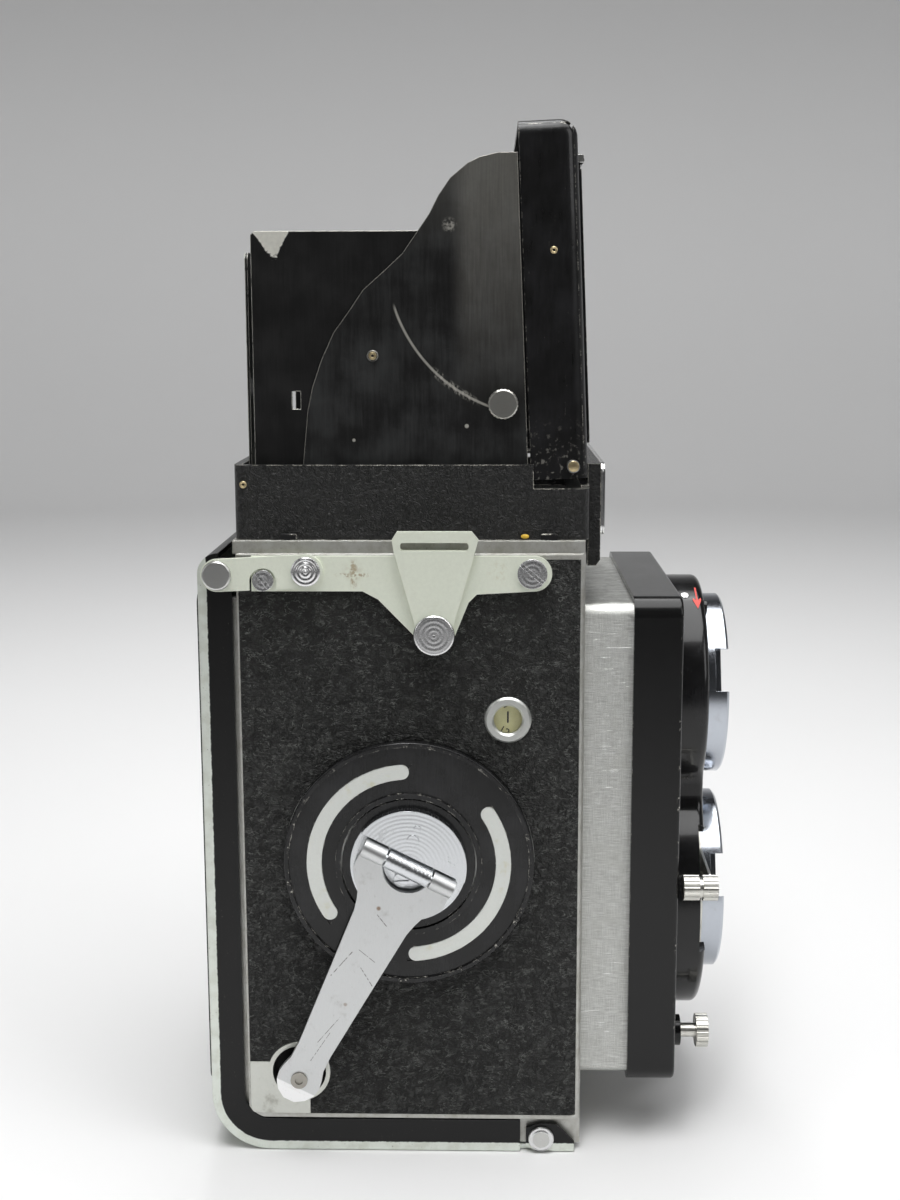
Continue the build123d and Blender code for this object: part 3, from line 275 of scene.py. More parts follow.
# Casting, leather and hood.
def makeCasting():
    painted = {"side": 37.4, "front": -36.9, "top": 124.2}  # black outside these, bare within
    f = Finish("bareCasting")
    shell = (abs(f.x) - painted["side"]).higher(painted["front"] - f.y)
    shell = shell.higher(f.z - painted["top"])
    bare = f.step(shell, -0.1, 0.1)
    cloud = f.noise(0.3, 5, 0.7)
    pits = f.step(f.noise(2.4, 3), 0.66, 0.74)
    tone = f.blend(f.step(cloud, 0.35, 0.75), (0.56, 0.56, 0.53), (0.42, 0.41, 0.37))
    tone = f.blend(pits * 0.5, tone, (0.16, 0.14, 0.10))
    f.feed("Base Color", f.blend(bare, (0.012, 0.012, 0.012), tone))
    f.feed("Metallic", bare * 0.9)
    f.feed("Roughness", 0.75 - bare * 0.36 + cloud * 0.12)
    f.relief(f.noise(1.6, 4) + pits * 0.4, 0.03, 0.3)
    dress(f, "body_casting")


def makeLeather():
    look = {"crease": 0.26, "fold": 0.52, "deep": 1.5}
    f = Finish("grainLeather", {"Specular IOR Level": 0.3, "Coat Roughness": 0.28})
    wide = f.step(abs(f.noise(look["crease"], 4, 0.6, (1, 0.8, 1.25), 1.1) - 0.5), 0.0, 0.055)
    close = f.step(abs(f.noise(look["fold"], 3, 0.6, (1, 0.8, 1.3), 0.8) - 0.5), 0.0, 0.07)
    cell = f.step(f.cells(0.75, warp=1.8, grain=0.8), 0.0, 0.2)
    pore = f.noise(3.2, 3, 0.6)
    height = wide * 0.5 + close * 0.34 + cell * 0.22 + pore * 0.12 + f.noise(0.5, 2) * 0.5
    tops = f.step(height, 1.0, 1.4)
    # ridge tops painted lighter and the creases darker: painted shade in the creases
    tone = f.blend(tops, (0.004, 0.004, 0.003), (0.013, 0.014, 0.012))
    tone = f.blend(f.step(f.noise(0.09, 3), 0.5, 0.75) * 0.4, tone, (0.020, 0.020, 0.016))
    # painted glints: short bright streaks on the ridges where the light from above would catch, a
    # painted highlight
    ridge = abs(f.noise(0.50, 3, 0.6, (1, 0.62, 1.35), 1.3) - 0.5)
    shine = f.step(ridge, 0.030, 0.004) * f.step(f.noise(0.65, 3, 0.6), 0.47, 0.60)
    small = abs(f.noise(0.95, 2, 0.6, (1, 0.7, 1.2), 1.0) - 0.5)
    patchy = f.step(f.noise(0.5, 3, 0.6), 0.56, 0.66)
    shine = shine.higher(f.step(small, 0.035, 0.005) * patchy * 0.6)
    tone = f.blend(shine, tone, (0.13, 0.135, 0.125))
    f.feed("Base Color", tone)
    f.feed("Roughness", 0.40 - tops * 0.12 + pore * 0.14 - shine * 0.12)
    f.feed("Coat Weight", 0.1 + tops * 0.35)
    f.relief(height + shine * 0.12, look["deep"], 0.3)
    dress(f, "body_leather", "door_leather")


def makeHoodPaint():  # wrinkled on the base, smooth on the lid
    f = Finish("wrinklePaint", {"Coat Roughness": 0.16, "Specular IOR Level": 0.3})
    curl = f.noise(0.85, 4, 0.62, twist=1.6)
    fine = f.noise(2.6, 3)
    bare = f.edges(0.3) * f.step(f.noise(0.5, 4, 0.7), 0.40, 0.5)
    dust = f.step(f.noise(2.2, 3), 0.68, 0.76) * 0.3
    tone = f.blend(f.step(curl, 0.4, 0.7), (0.005, 0.005, 0.005), (0.012, 0.012, 0.011))
    tone = f.blend(dust, tone, (0.20, 0.19, 0.17))
    f.feed("Base Color", f.blend(bare, tone, (0.55, 0.53, 0.47)))
    f.feed("Metallic", bare)
    f.feed("Roughness", 0.24 + fine * 0.2)
    f.feed("Coat Weight", 0.3 * (1 - bare))
    f.relief(curl + fine * 0.3, 1.3, 0.25)
    dress(f, "hood_base")

    def lidScuff(f):  # rubbed paint low on the lid and fine upright lines
        low = f.step(f.z, 152.0, 139.0) * f.step(f.noise(0.9, 5, 0.7), 0.56, 0.66)
        upright = f.step(f.noise(1.0, 4, 0.7, (1, 3.2, 0.25)), 0.69, 0.74)
        return (low * 0.35 + upright * 0.3).lower(1.0)

    dress(paint("lidEnamel", {"rough": 0.2, "coat": 0.25, "depth": 0.05, "grain": 0.8,
                              "wear": 0.25, "extra": lidScuff, "lines": (6, 3, 0.4)}),
          "hood_lid", "finder_flap")


def makeHoodSheets():
    chip = {"point": (22.2, 181.2), "reach": (4.7, 3.3), "top": 185.9, "deep": 4.7}

    def chipped(f):  # torn paint at the upper rear corner
        away = f.y - chip["point"][0]
        share = f.step(away, -chip["reach"][1], 0.0) * f.step(away, chip["reach"][0], 0.0)
        rag = f.noise(1.3, 6, 0.8) * 7.0 - 3.5
        floor = chip["top"] - share * chip["deep"] - 0.2 + rag * share * 0.8
        torn = f.step(f.z - floor, -0.12, 0.12) * f.step(share, 0.03, 0.08)
        return torn * f.step(f.x, 0.0, -1.0)

    dress(paint("panelEnamel", {"rough": 0.28, "coat": 0.2, "wear": 0.55, "extra": chipped,
                                "haze": (0.014, 0.014, 0.014), "metal": (0.95, 0.94, 0.86)}),
          "hood_panel_crank", "hood_panel_knob", "hood_rear_wall")

    swing = {"centre": (-29.5, 181.0), "radius": 30.3}  # of the mark left by the catch

    def rubbedAndSheen(f):
        ring = abs(f.spot(swing["centre"]) - swing["radius"])
        arc = f.step(ring, 0.34, 0.08) * f.step(f.y, -0.2, -1.2) * f.step(f.y, -21.5, -20.0)
        arc = arc * f.step(f.z, 172.5, 171.0)
        broad = f.step(ring, 1.0, 0.3) * f.step(f.y, -7.0, -9.0) * f.step(f.y, -17.5, -15.0)
        broad = broad * f.step(f.noise(1.2, 5, 0.7, (1, 1.4, 0.8)), 0.47, 0.60)
        broad = broad * f.step(f.z, 160.5, 159.0)
        dots = f.step(f.spot((-14.6, 148.8)), 0.5, 0.25)
        dots = dots.higher(f.step(f.spot((7.3, 146.1)), 0.4, 0.2))
        patch = f.step(f.spot((-11.3, 186.8)), 1.7, 0.6) * f.step(f.noise(1.4, 4), 0.42, 0.62)
        # painted sheen: lighter toward the lid and higher up, with streaks, and lighter again along the
        # top; the arc, broad ring, dots and patch are wear
        sheenBand = f.step(f.y, -11.0, -15.5) * f.step(f.z, 148.0, 188.0)
        sheenBand = sheenBand * (0.05 + 0.12 * f.noise(1.0, 4, 0.6, (1, 2.4, 0.12)))
        top = f.step(f.z, 180.0, 197.0) * 0.05
        marks = arc * 0.7 + broad * 0.5 + patch * 0.5 + sheenBand + top
        return marks.higher(dots).lower(1.0) * f.step(f.x, 0.0, -1.0)

    dress(paint("sectorEnamel", {"rough": 0.25, "coat": 0.25, "gloss": 0.4, "wear": 0.62,
                                 "extra": rubbedAndSheen, "haze": (0.026, 0.027, 0.027),
                                 "lines": (3, 3.4, 0.22)}),
          "hood_sector_crank", "hood_sector_knob")


def makeDoorRim():  # bright metal along the door's outline, black within it
    outline = {"rear": 37.9, "bend": 12.0, "bright": 1.75}
    f = Finish("doorRim", {"Coat Roughness": 0.1, "Specular IOR Level": 0.25})
    qy, qz = f.y - (outline["rear"] - outline["bend"]), outline["bend"] - f.z
    wy, wz = qy.higher(0.0), qz.higher(0.0)
    inside = outline["bend"] - f.length(wy, wz) - qy.higher(qz).lower(0.0)  # depth under the outline
    rag = f.noise(0.9, 4, 0.7) * 0.5 - 0.25
    bright = f.step(inside + rag, outline["bright"] + 0.1, outline["bright"] - 0.1)
    cloud = f.noise(0.35, 4)
    metalTone = f.blend(f.step(cloud, 0.4, 0.7), (0.80, 0.84, 0.78), (0.70, 0.73, 0.66))
    metalTone = f.blend(f.step(f.noise(2.0, 3), 0.66, 0.74) * 0.6, metalTone, (0.10, 0.09, 0.07))
    speck = f.step(f.noise(2.6, 3), 0.7, 0.78) * 0.4
    black = f.blend(speck, (0.006, 0.006, 0.006), (0.2, 0.19, 0.16))
    f.feed("Base Color", f.blend(bright, black, metalTone))
    f.feed("Metallic", bright * 0.8)
    f.feed("Roughness", 0.28 + bright * 0.16 + cloud * 0.1)
    f.feed("Coat Weight", 0.12 * (1 - bright))
    f.relief(f.noise(1.2, 4) - bright * 0.6, 0.03, 0.3)
    dress(f, "back_door", "door_rims", "door_latch")


# Plated and bare metal.
def makeMetals():
    def rust(f):  # runs down from the strap plate's screws
        ragged = f.noise(0.9, 5, 0.7)
        near = f.step(abs(f.y - 7.3), 0.9, 0.15) * f.step(abs(f.z - 120.6), 3.2, 1.8)
        streak = (near + f.step(f.spot((7.3, 120.9)), 2.6, 0.3) * 0.4).lower(1.0)
        streak = streak * f.step(ragged, 0.40, 0.58)
        side = f.step(abs(f.z - 120.4), 0.55, 0.1) * f.step(f.y, 11.5, 9.0) * f.step(f.y, 3.0, 6.0)
        side = side * f.step(f.noise(1.6, 4), 0.5, 0.6)
        right = f.step(f.spot((-20.8, 121.0)), 3.0, 0.4) * f.step(ragged, 0.47, 0.66) * 0.6
        return (((streak + side).lower(1.0) * 0.7, (0.34, 0.24, 0.11)),
                (right * 0.6, (0.50, 0.42, 0.24)))

    dress(metal("agedPlate", {"colour": (0.86, 0.90, 0.77), "rough": 0.36, "grime": 0.2,
                              "metallic": 0.3, "lines": (1.4, 1.4, 1.4), "depth": 0.02,
                              "dark": (0.55, 0.53, 0.40), "stain": rust}),
          "strap_plates", "hinge_arms")
    cup = {"centre": (19.8, 17.3), "bore": 5.55}

    def hollow(f):  # the cup's bore is coloured near-black
        inside = f.step(f.spot(cup["centre"]), cup["bore"], cup["bore"] - 0.15)
        return ((inside * f.step(f.x, -39.3, -39.0), (0.012, 0.012, 0.012)),)

    dress(metal("cupAlloy", {"colour": (0.70, 0.71, 0.66), "rough": 0.34, "grime": 0.45,
                             "stain": hollow, "lines": (1.6, 1.6, 1.6), "depth": 0.02}),
          "knob_cup")
    dress(metal("bezelAlloy", {"colour": (0.72, 0.73, 0.70), "rough": 0.3, "lines": (2, 2, 2)}),
          "counter_bezel")
    dress(metal("brightPins", {"rough": 0.25}),
          "lid_pins", "hood_pins", "film_rollers", "tripod_socket", "door_pins",
          "plate_fasteners")
    dress(metal("knurlNickel", {"colour": (0.70, 0.69, 0.64), "rough": 0.24, "grime": 0.4,
                                "lines": (3, 3, 3)}),
          "speed_lever", "aperture_lever", "release_button", "hood_knob")
    for name, node in (("takeupKnob", "takeup_pull_knob"), ("supplyKnob", "supply_pull_knob")):
        lo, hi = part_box(node)
        centre = ((lo.y + hi.y) / 2 / mm, (lo.z + hi.z) / 2 / mm)
        dress(metal(name, {"colour": (0.70, 0.69, 0.66), "rough": 0.22, "depth": 0.012,
                           "spun": {"centres": [centre], "pitch": 0.35}}), node)
    dress(metal("coverAlloy", {}), "side_covers")
    dress(metal("scaleAlloy", {"colour": (0.70, 0.70, 0.67), "rough": 0.3}), "focus_scale")
    dress(metal("blades", {"colour": (0.30, 0.31, 0.33), "rough": 0.3}), "shutter_blades")
    dress(metal("ringChrome", {"colour": (0.52, 0.55, 0.60), "rough": 0.10, "grime": 0.3,
                               "lines": (2, 2, 2), "depth": 0.006}),
          "bayonet_ring_viewing", "bayonet_ring_taking")

    # crank: spun hub, brushed arm with a few long scratches
    lo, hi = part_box("crank_plate")
    centre = ((lo.y + hi.y) / 2 / mm, (lo.z + hi.z) / 2 / mm)
    dress(metal("spunHub", {"colour": (0.78, 0.80, 0.82), "rough": 0.2, "depth": 0.006,
                            "grime": 0.15, "spun": {"centres": [centre], "pitch": 0.8}}),
          "crank_hub")
    arm = {"pivot": (-3.0, 62.2), "along": (0.44637, -0.89484), "tip": 51.7,
           "nicks": (((12.6, 39.8), (8.3, 44.7), 0.14), ((4.4, 37.6), (6.6, 41.4), 0.13),
                     ((3.2, 52.6), (1.4, 50.2), 0.13), ((15.5, 25.5), (10.8, 31.0), 0.1),
                     ((6.9, 45.2), (3.8, 42.6), 0.09), ((17.0, 21.5), (13.0, 27.5), 0.09))}

    def nicks(f):
        lines = None
        for start, end, width in arm["nicks"]:
            one = f.scratch(start, end, width)
            lines = one if lines is None else lines.higher(one)
        lines = lines * f.step(f.noise(1.5, 3), 0.35, 0.55)
        rustSpot = f.step(f.spot((2.9, 53.9)), 0.6, 0.2)
        rustSpot = rustSpot.higher(f.step(f.spot((9.8, 33.6)), 0.5, 0.2) * 0.6)
        worn = f.step(f.noise(1.3, 5, 0.75, (1, 1.6, 0.7)), 0.60, 0.72) * 0.35
        (py, pz), (ay, az) = arm["pivot"], arm["along"]
        tip = f.step((f.y - py) * ay + (f.z - pz) * az, arm["tip"], arm["tip"] + 0.3)
        return ((tip, (0.97, 0.97, 0.97)), (worn, (0.40, 0.39, 0.36)),
                (lines * 0.85, (0.10, 0.09, 0.08)), (rustSpot * 0.8, (0.22, 0.12, 0.05)))

    dress(metal("brushedArm", {"colour": (0.72, 0.73, 0.73), "rough": 0.32, "grime": 0.3,
                               "lines": (2, 7, 0.9), "depth": 0.01, "stain": nicks}), "crank_arm")
    dress(metal("knobSteel", {"colour": (0.42, 0.40, 0.36), "rough": 0.32, "grime": 0.6}),
          "crank_knob")


def makeShroud():  # brushed sheet with crossing fine lines
    f = Finish("brushedShroud")
    level = f.noise(1.0, 4, 0.75, (0.6, 0.35, 9.0))
    upright = f.noise(1.0, 4, 0.75, (6.0, 9.0, 0.25))
    deep = f.step(f.noise(1.0, 3, 0.6, (0.5, 0.22, 4.2)), 0.66, 0.72)
    cloud = f.noise(0.12, 3)
    tone = f.blend(f.step(level * 0.6 + upright * 0.4, 0.36, 0.66),
                   (0.44, 0.44, 0.42), (0.78, 0.79, 0.76))
    tone = f.blend(deep * 0.5, tone, (0.97, 0.97, 0.97))
    tone = f.blend(f.step(cloud, 0.5, 0.75) * 0.3, tone, (0.50, 0.50, 0.46))
    f.feed("Base Color", tone)
    f.feed("Metallic", 1.0)
    f.feed("Roughness", 0.36 + level * 0.14)
    f.relief(level * 0.8 + upright * 0.6 + deep * 0.6, 0.07, 0.2)
    dress(f, "light_shroud")


def makeEnamels():
    def chips(f):  # flaked front edge of the panel
        edge = f.step(f.y, -56.6, -57.2) * f.step(f.noise(1.1, 5, 0.8), 0.60, 0.66)
        return edge * f.step(abs(f.x), 33.0, 34.0)

    dress(paint("panelGloss", {"rough": 0.12, "coat": 0.2, "depth": 0.02, "grain": 0.4,
                               "wear": 0.15, "extra": chips, "edge": 0.2,
                               "haze": (0.007, 0.007, 0.007)}), "front_panel")
    dress(paint("housingGloss", {"rough": 0.12, "coat": 0.35, "depth": 0.02, "grain": 0.4,
                                 "wear": 0.1, "edge": 0.2, "haze": (0.016, 0.016, 0.017)}),
          "lens_housing")

    def rimWear(f):  # plate rim rubbed bright here and there
        ring = f.step(abs(f.spot((-3.0, 62.2)) - 24.3), 0.5, 0.2)
        ring = ring * f.step(f.noise(0.6, 5, 0.8), 0.57, 0.68)
        fleck = f.step(f.spot((-19.3, 73.6)), 0.55, 0.25)
        return ring.higher(fleck) * 0.9

    dress(paint("plateEnamel", {"rough": 0.12, "coat": 0.25, "depth": 0.025, "grain": 0.5,
                                "wear": 0.2, "extra": rimWear, "edge": 0.25,
                                "haze": (0.020, 0.020, 0.021)}),
          "crank_plate", "crank_base")
    dress(paint("knobEnamel", {"rough": 0.16, "coat": 0.4, "wear": 0.3, "edge": 0.2}),
          "focus_knob")
    dress(paint("innerBlack", {"rough": 0.42, "coat": 0.1, "wear": 0.05, "depth": 0.03}),
          "pressure_plate", "takeup_spool", "viewing_lens_barrel", "taking_lens_barrel",
          "shutter_case", "magnifier_arm")


def makeNamePlate():  # blank black plate with a bright border
    lo, hi = (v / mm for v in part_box("nameplate"))
    middle = (lo.z + hi.z) / 2
    f = Finish("namePlate", {"Coat Roughness": 0.05, "Specular IOR Level": 0.3})
    depth = ((hi.x - lo.x) / 2 - abs(f.x)).lower((hi.z - lo.z) / 2 - abs(f.z - middle))
    border = f.step(depth, 1.35, 1.25)
    streak = f.noise(1.0, 4, 0.7, (0.4, 3, 7))
    black = f.blend(streak, (0.010, 0.010, 0.011), (0.028, 0.028, 0.03))
    f.feed("Base Color", f.blend(border, black, (0.78, 0.78, 0.78)))
    f.feed("Metallic", border)
    f.feed("Roughness", 0.16 + streak * 0.12)
    f.feed("Coat Weight", 0.8 * (1 - border))
    f.relief(border + streak * 0.05, 0.12, 0.15)
    dress(f, "nameplate")


def makeGlass():
    # name, tint, bloom of the coating, alpha, coat, pieces
    glasses = (("coatedGlass", (0.80, 0.86, 1.0, 1), (0.70, 0.60, 1.0, 1), 1.0, 0.8,
                ("viewing_front_glass", "taking_front_glass")),
               ("backGlass", (0.93, 0.97, 0.96, 1), (1, 1, 1, 1), 1.0, 0.3, ("rear_glasses",)),
               ("clearGlass", (0.95, 0.97, 0.95, 1), (1, 1, 1, 1), 0.12, 0.3,
                ("counter_glass", "magnifier_glass")))
    for name, tint, bloom, alpha, coat, names in glasses:
        f = Finish(name, {"Base Color": tint, "Transmission Weight": 1.0, "IOR": 1.52,
                          "Alpha": alpha, "Coat Tint": bloom, "Coat Roughness": 0.02})
        smear = f.noise(0.4, 4, 0.6)
        f.feed("Roughness", 0.01 + f.step(smear, 0.55, 0.85) * 0.05)
        f.feed("Coat Weight", coat * (0.7 + smear * 0.5))
        dress(f, *names)
    f = Finish("groundGlass", {"Transmission Weight": 0.25, "IOR": 1.5})
    f.feed("Base Color", f.blend(f.noise(0.1, 3), (0.50, 0.52, 0.48), (0.62, 0.64, 0.60)))
    f.feed("Roughness", 0.4 + f.noise(6, 2) * 0.2)
    f.relief(f.noise(9, 2), 0.02, 0)
    dress(f, "ground_glass")
    f = Finish("silvering", {"Metallic": 1.0})
    f.feed("Base Color", f.blend(f.step(f.noise(0.1, 3), 0.55, 0.8),
                                 (0.9, 0.9, 0.9), (0.75, 0.73, 0.68)))
    f.feed("Roughness", 0.03 + f.noise(0.5, 4) * 0.05)
    dress(f, "mirror")
    f = Finish("counterDial")
    f.feed("Base Color", f.blend(f.noise(0.8, 4), (0.66, 0.63, 0.30), (0.82, 0.79, 0.50)))
    f.feed("Roughness", 0.4 + f.noise(2, 3) * 0.2)
    f.relief(f.noise(3, 3), 0.01, 0.1)
    dress(f, "counter_disc")


makeCasting()
makeLeather()
makeHoodPaint()
makeHoodSheets()
makeDoorRim()
makeMetals()
makeShroud()
makeEnamels()
makeNamePlate()
makeGlass()
print("finishes made")


# Small trim is built as meshes, in millimetres in the same frame.
def piece(name, form, finish, body, smooth=True):
    mesh = bpy.data.meshes.new(name)
    bmesh.ops.recalc_face_normals(form, faces=form.faces)
    for face in form.faces:
        face.smooth = smooth
    form.to_mesh(mesh)
    form.free()
    mesh.transform(Matrix.Scale(mm, 4))
    made = bpy.data.objects.new(name, mesh)
    bpy.context.scene.collection.objects.link(made)
    mesh.materials.append(finish.material)
    if smooth:
        mesh.set_sharp_from_angle(angle=math.radians(35))
    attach(made, body)
    return made


def turned(form, profile, centre, axis, steps=48):  # lathe a (radius, height) profile
    axis = Vector(axis).normalized()
    side = axis.orthogonal().normalized()
    other = axis.cross(side)
    rows = []
    for radius, height in profile:
        base = Vector(centre) + axis * height
        if radius < 1e-6:
            rows.append([form.verts.new(base)])
            continue
        row = []
        for i in range(steps):
            angle = math.tau * i / steps
            spoke = side * math.cos(angle) + other * math.sin(angle)
            row.append(form.verts.new(base + spoke * radius))
        rows.append(row)
    for low, high in zip(rows, rows[1:]):
        for i in range(steps):
            j = (i + 1) % steps
            ring = [low[i % len(low)], low[j % len(low)], high[j % len(high)], high[i % len(high)]]
            unique = list(dict.fromkeys(ring))
            if len(unique) > 2:
                form.faces.new(unique)


def swept(first, last, steps):  # whole arc, both ends counted
    return [first + (last - first) * i / steps for i in range(steps + 1)]


def spun(points, turn):  # flat outline turned about its origin
    c, s = math.cos(turn), math.sin(turn)
    return [(u * c - v * s, u * s + v * c) for u, v in points]


def slab(form, outline, place, thickness):  # closed plate from a flat outline
    low = [form.verts.new(place(u, v, 0.0)) for u, v in outline]
    high = [form.verts.new(place(u, v, thickness)) for u, v in outline]
    form.faces.new(low[::-1])
    form.faces.new(high)
    for i in range(len(outline)):
        j = (i + 1) % len(outline)
        form.faces.new((low[i], low[j], high[j], high[i]))


def lettering(words, finish, name, body):  # several generic figures in one mesh
    form = bmesh.new()
    for text, size, place in words:
        curve = bpy.data.curves.new("figures", "FONT")
        curve.body, curve.size = text, size
        curve.align_x, curve.align_y = "CENTER", "CENTER"
        curve.extrude = 0.02
        holder = bpy.data.objects.new("figures", curve)
        bpy.context.scene.collection.objects.link(holder)
        flat = bpy.data.meshes.new_from_object(holder)
        flat.transform(place)
        form.from_mesh(flat)
        bpy.data.objects.remove(holder)
        bpy.data.curves.remove(curve)
        bpy.data.meshes.remove(flat)
    return piece(name, form, finish, body, smooth=False)


def facing(right, up, at):  # places a flat drawing with its own right and up
    right, up = Vector(right).normalized(), Vector(up).normalized()
    turn = Matrix((right, up, right.cross(up))).transposed().to_4x4()
    return Matrix.Translation(at) @ turn


def makeInks():
    inks = {}
    for name, colour in (("whiteInk", (0.75, 0.75, 0.72)), ("blackInk", (0.02, 0.02, 0.02)),
                         ("redInk", (0.70, 0.05, 0.035)), ("yellowInk", (0.75, 0.48, 0.05)),
                         ("lineInk", (0.25, 0.05, 0.04))):
        f = Finish(name)
        f.feed("Base Color", f.blend(f.step(f.noise(2.5, 4, 0.7), 0.5, 0.75), colour,
                                     tuple(c * 0.6 for c in colour)))
        f.feed("Roughness", 0.38 + f.noise(1.5, 3) * 0.2)
        f.relief(f.noise(4, 3), 0.01, 0)
        inks[name] = f
    return inks


inks = makeInks()
brass = metal("eyeletBrass", {"colour": (0.66, 0.54, 0.32), "rough": 0.28, "grime": 0.5,
                              "lines": (3, 3, 3)})
chrome = metal("trimChrome", {"colour": (0.76, 0.76, 0.76), "rough": 0.12, "lines": (2, 2, 2)})
darkTrim = paint("darkTrim", {"rough": 0.3, "coat": 0.3})


def makeHeads():  # turned rivets and slotted screws of the strap plates, on both flanks
    heads = {"hinge": (33.8, 120.4), "ring": (16.5, 121.2), "stud": (-8.3, 108.9),
             "front": (-27.3, 120.7), "foot": (-29.8, 2.9), "rear": (24.9, 119.4)}
    spinFinish = metal("turnedHeads", {"colour": (0.84, 0.84, 0.84), "rough": 0.2,
                                       "depth": 0.008, "grime": 0.12, "lines": (3, 3, 3),
                                       "spun": {"centres": list(heads.values()), "pitch": 0.9}})
    wall = 39.0
    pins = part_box("door_pins")
    form = bmesh.new()
    for sign in (-1, 1):
        out = (sign, 0, 0)
        face = abs(pins[0].x) / mm * sign - sign * 0.45
        dome = [(0, 0.43), (0.7, 0.42), (1.4, 0.37), (2.0, 0.28), (2.5, 0.13), (2.8, -0.08),
                (2.93, -0.5)]
        turned(form, dome, (face, *heads["hinge"]), out, 64)
        low = [(0, 0.40)] + [(i * 0.1, 0.30 + 0.06 * math.cos(math.tau * i / 8.6) - 0.004 * i)
                             for i in range(1, 26)] + [(2.55, 0.0), (2.55, -0.1)]
        turned(form, low, (sign * (wall + 0.55), *heads["foot"]), out, 64)
    piece("turnedHeads", form, spinFinish, "body")

    form = bmesh.new()
    for sign in (-1, 1):
        out = (sign, 0, 0)
        rings = [(0, 3.0), (0.25, 2.98)]
        for i in range(4, 28):
            rings.append((i * 0.1, 2.66 + 0.07 * math.cos(math.tau * i / 8.2) - 0.010 * i))
        rings += [(2.86, 2.3), (2.9, 2.0), (2.9, 0.9)]
        turned(form, rings, (sign * wall, *heads["ring"]), out, 72)
        stud = [(0, 3.5), (0.15, 3.52)]
        stud += [(0.15 + 0.2 * i, 3.53 + (0.025 if i % 2 else 0)) for i in range(1, 18)]
        stud += [(3.75, 3.5), (3.95, 3.3), (4.0, 3.05), (4.0, 2.4), (3.0, 2.3)]
        turned(form, stud, (sign * wall, *heads["stud"]), out, 72)
        for (y, z), r, slant in ((heads["rear"], 2.1, 52), (heads["front"], 2.9, 40)):
            shank = [(0, 1.15), (r * 0.98, 1.15), (r, 1.05), (r, 0.5)]
            turned(form, shank, (sign * wall, y, z), out, 48)
            for half in (0, 180):  # two half heads leave the slot between them
                start = math.asin(0.33 / r)
                arc = [start + (math.pi - 2 * start) * i / 24 for i in range(25)]
                outline = spun([(r * math.cos(t), r * math.sin(t)) for t in arc],
                               math.radians(slant + half))
                slab(form, outline,
                     lambda u, v, w: (sign * (wall + 1.1 + w), y + u, z + v), 0.62)
    made = piece("plateHeads", form, spinFinish, "body")
    edge = made.modifiers.new("edge", "BEVEL")
    edge.width, edge.segments, edge.limit_method = 0.08 * mm, 2, "ANGLE"
    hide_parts("plate_fasteners")


def makeArcs():  # the plate's two bright arcs, round at both ends
    arcs = {"middle": (-3.0, 62.2), "radius": 18.9, "half": 1.5, "out": -40.44, "deep": 0.5,
            "spread": 59.45, "tilt": math.atan2(-0.89484, 0.44637)}
    r, half, middle = arcs["radius"], arcs["half"], arcs["middle"]
    finish = metal("arcInlay", {"colour": (0.80, 0.82, 0.78), "rough": 0.36, "grime": 0.7,
                                "metallic": 0.5, "dark": (0.60, 0.57, 0.36), "lines": (2, 2, 2)})
    form = bmesh.new()
    for first in (90, 270):
        start, end = (math.radians(first + side * arcs["spread"]) for side in (-1, 1))
        outline = [((r + half) * math.cos(t), (r + half) * math.sin(t))
                   for t in swept(start, end, 32)]
        outline += [(r * math.cos(end) + half * math.cos(t), r * math.sin(end) + half * math.sin(t))
                    for t in swept(end, end + math.pi, 12)[1:-1]]
        outline += [((r - half) * math.cos(t), (r - half) * math.sin(t))
                    for t in swept(end, start, 32)]
        outline += [(r * math.cos(start) + half * math.cos(t),
                     r * math.sin(start) + half * math.sin(t))
                    for t in swept(start + math.pi, start + math.tau, 12)[1:-1]]
        slab(form, spun(outline, arcs["tilt"]),
             lambda u, v, w: (arcs["out"] + w, middle[0] + u, middle[1] + v), arcs["deep"])
    made = piece("arcInlays", form, finish, "body")
    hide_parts("plate_arcs")


def makeEyelets():  # brass eyelets on the hood and lid, sector rivets, lid hinge screws
    ring = [(0.26, -0.15), (0.26, 0.10), (0.36, 0.18), (0.54, 0.2), (0.68, 0.12), (0.72, -0.02)]
    form = bmesh.new()
    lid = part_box("hood_lid")
    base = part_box("hood_base")
    for sign in (-1, 1):
        turned(form, ring, (sign * abs(lid[0].x) / mm, -31.2, 182.1), (sign, 0, 0), 32)
        turned(form, ring, (sign * abs(base[0].x) / mm, 28.75, 137.7), (sign, 0, 0), 32)
    piece("hoodEyelets", form, brass, "body")
    for name, body, sign in (("sectorEyeletCrank", "wall_crank", -1),
                             ("sectorEyeletKnob", "wall_knob", 1)):
        form = bmesh.new()
        turned(form, [(0.35, -0.3)] + [(r * 1.1, h * 0.8) for r, h in ring],
               (sign * 35.28, 3.5, 162.3), (sign, 0, 0), 32)
        piece(name, form, brass, body)
    form = bmesh.new()
    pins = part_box("lid_pins")
    for sign in (-1, 1):
        turned(form, [(0, 0.30), (0.6, 0.27), (1.05, 0.12), (1.15, -0.1)],
               (sign * (abs(pins[0].x) / mm - 0.05), -35.3, 141.0), (sign, 0, 0), 32)
    piece("lidScrews", form, brass, "body")


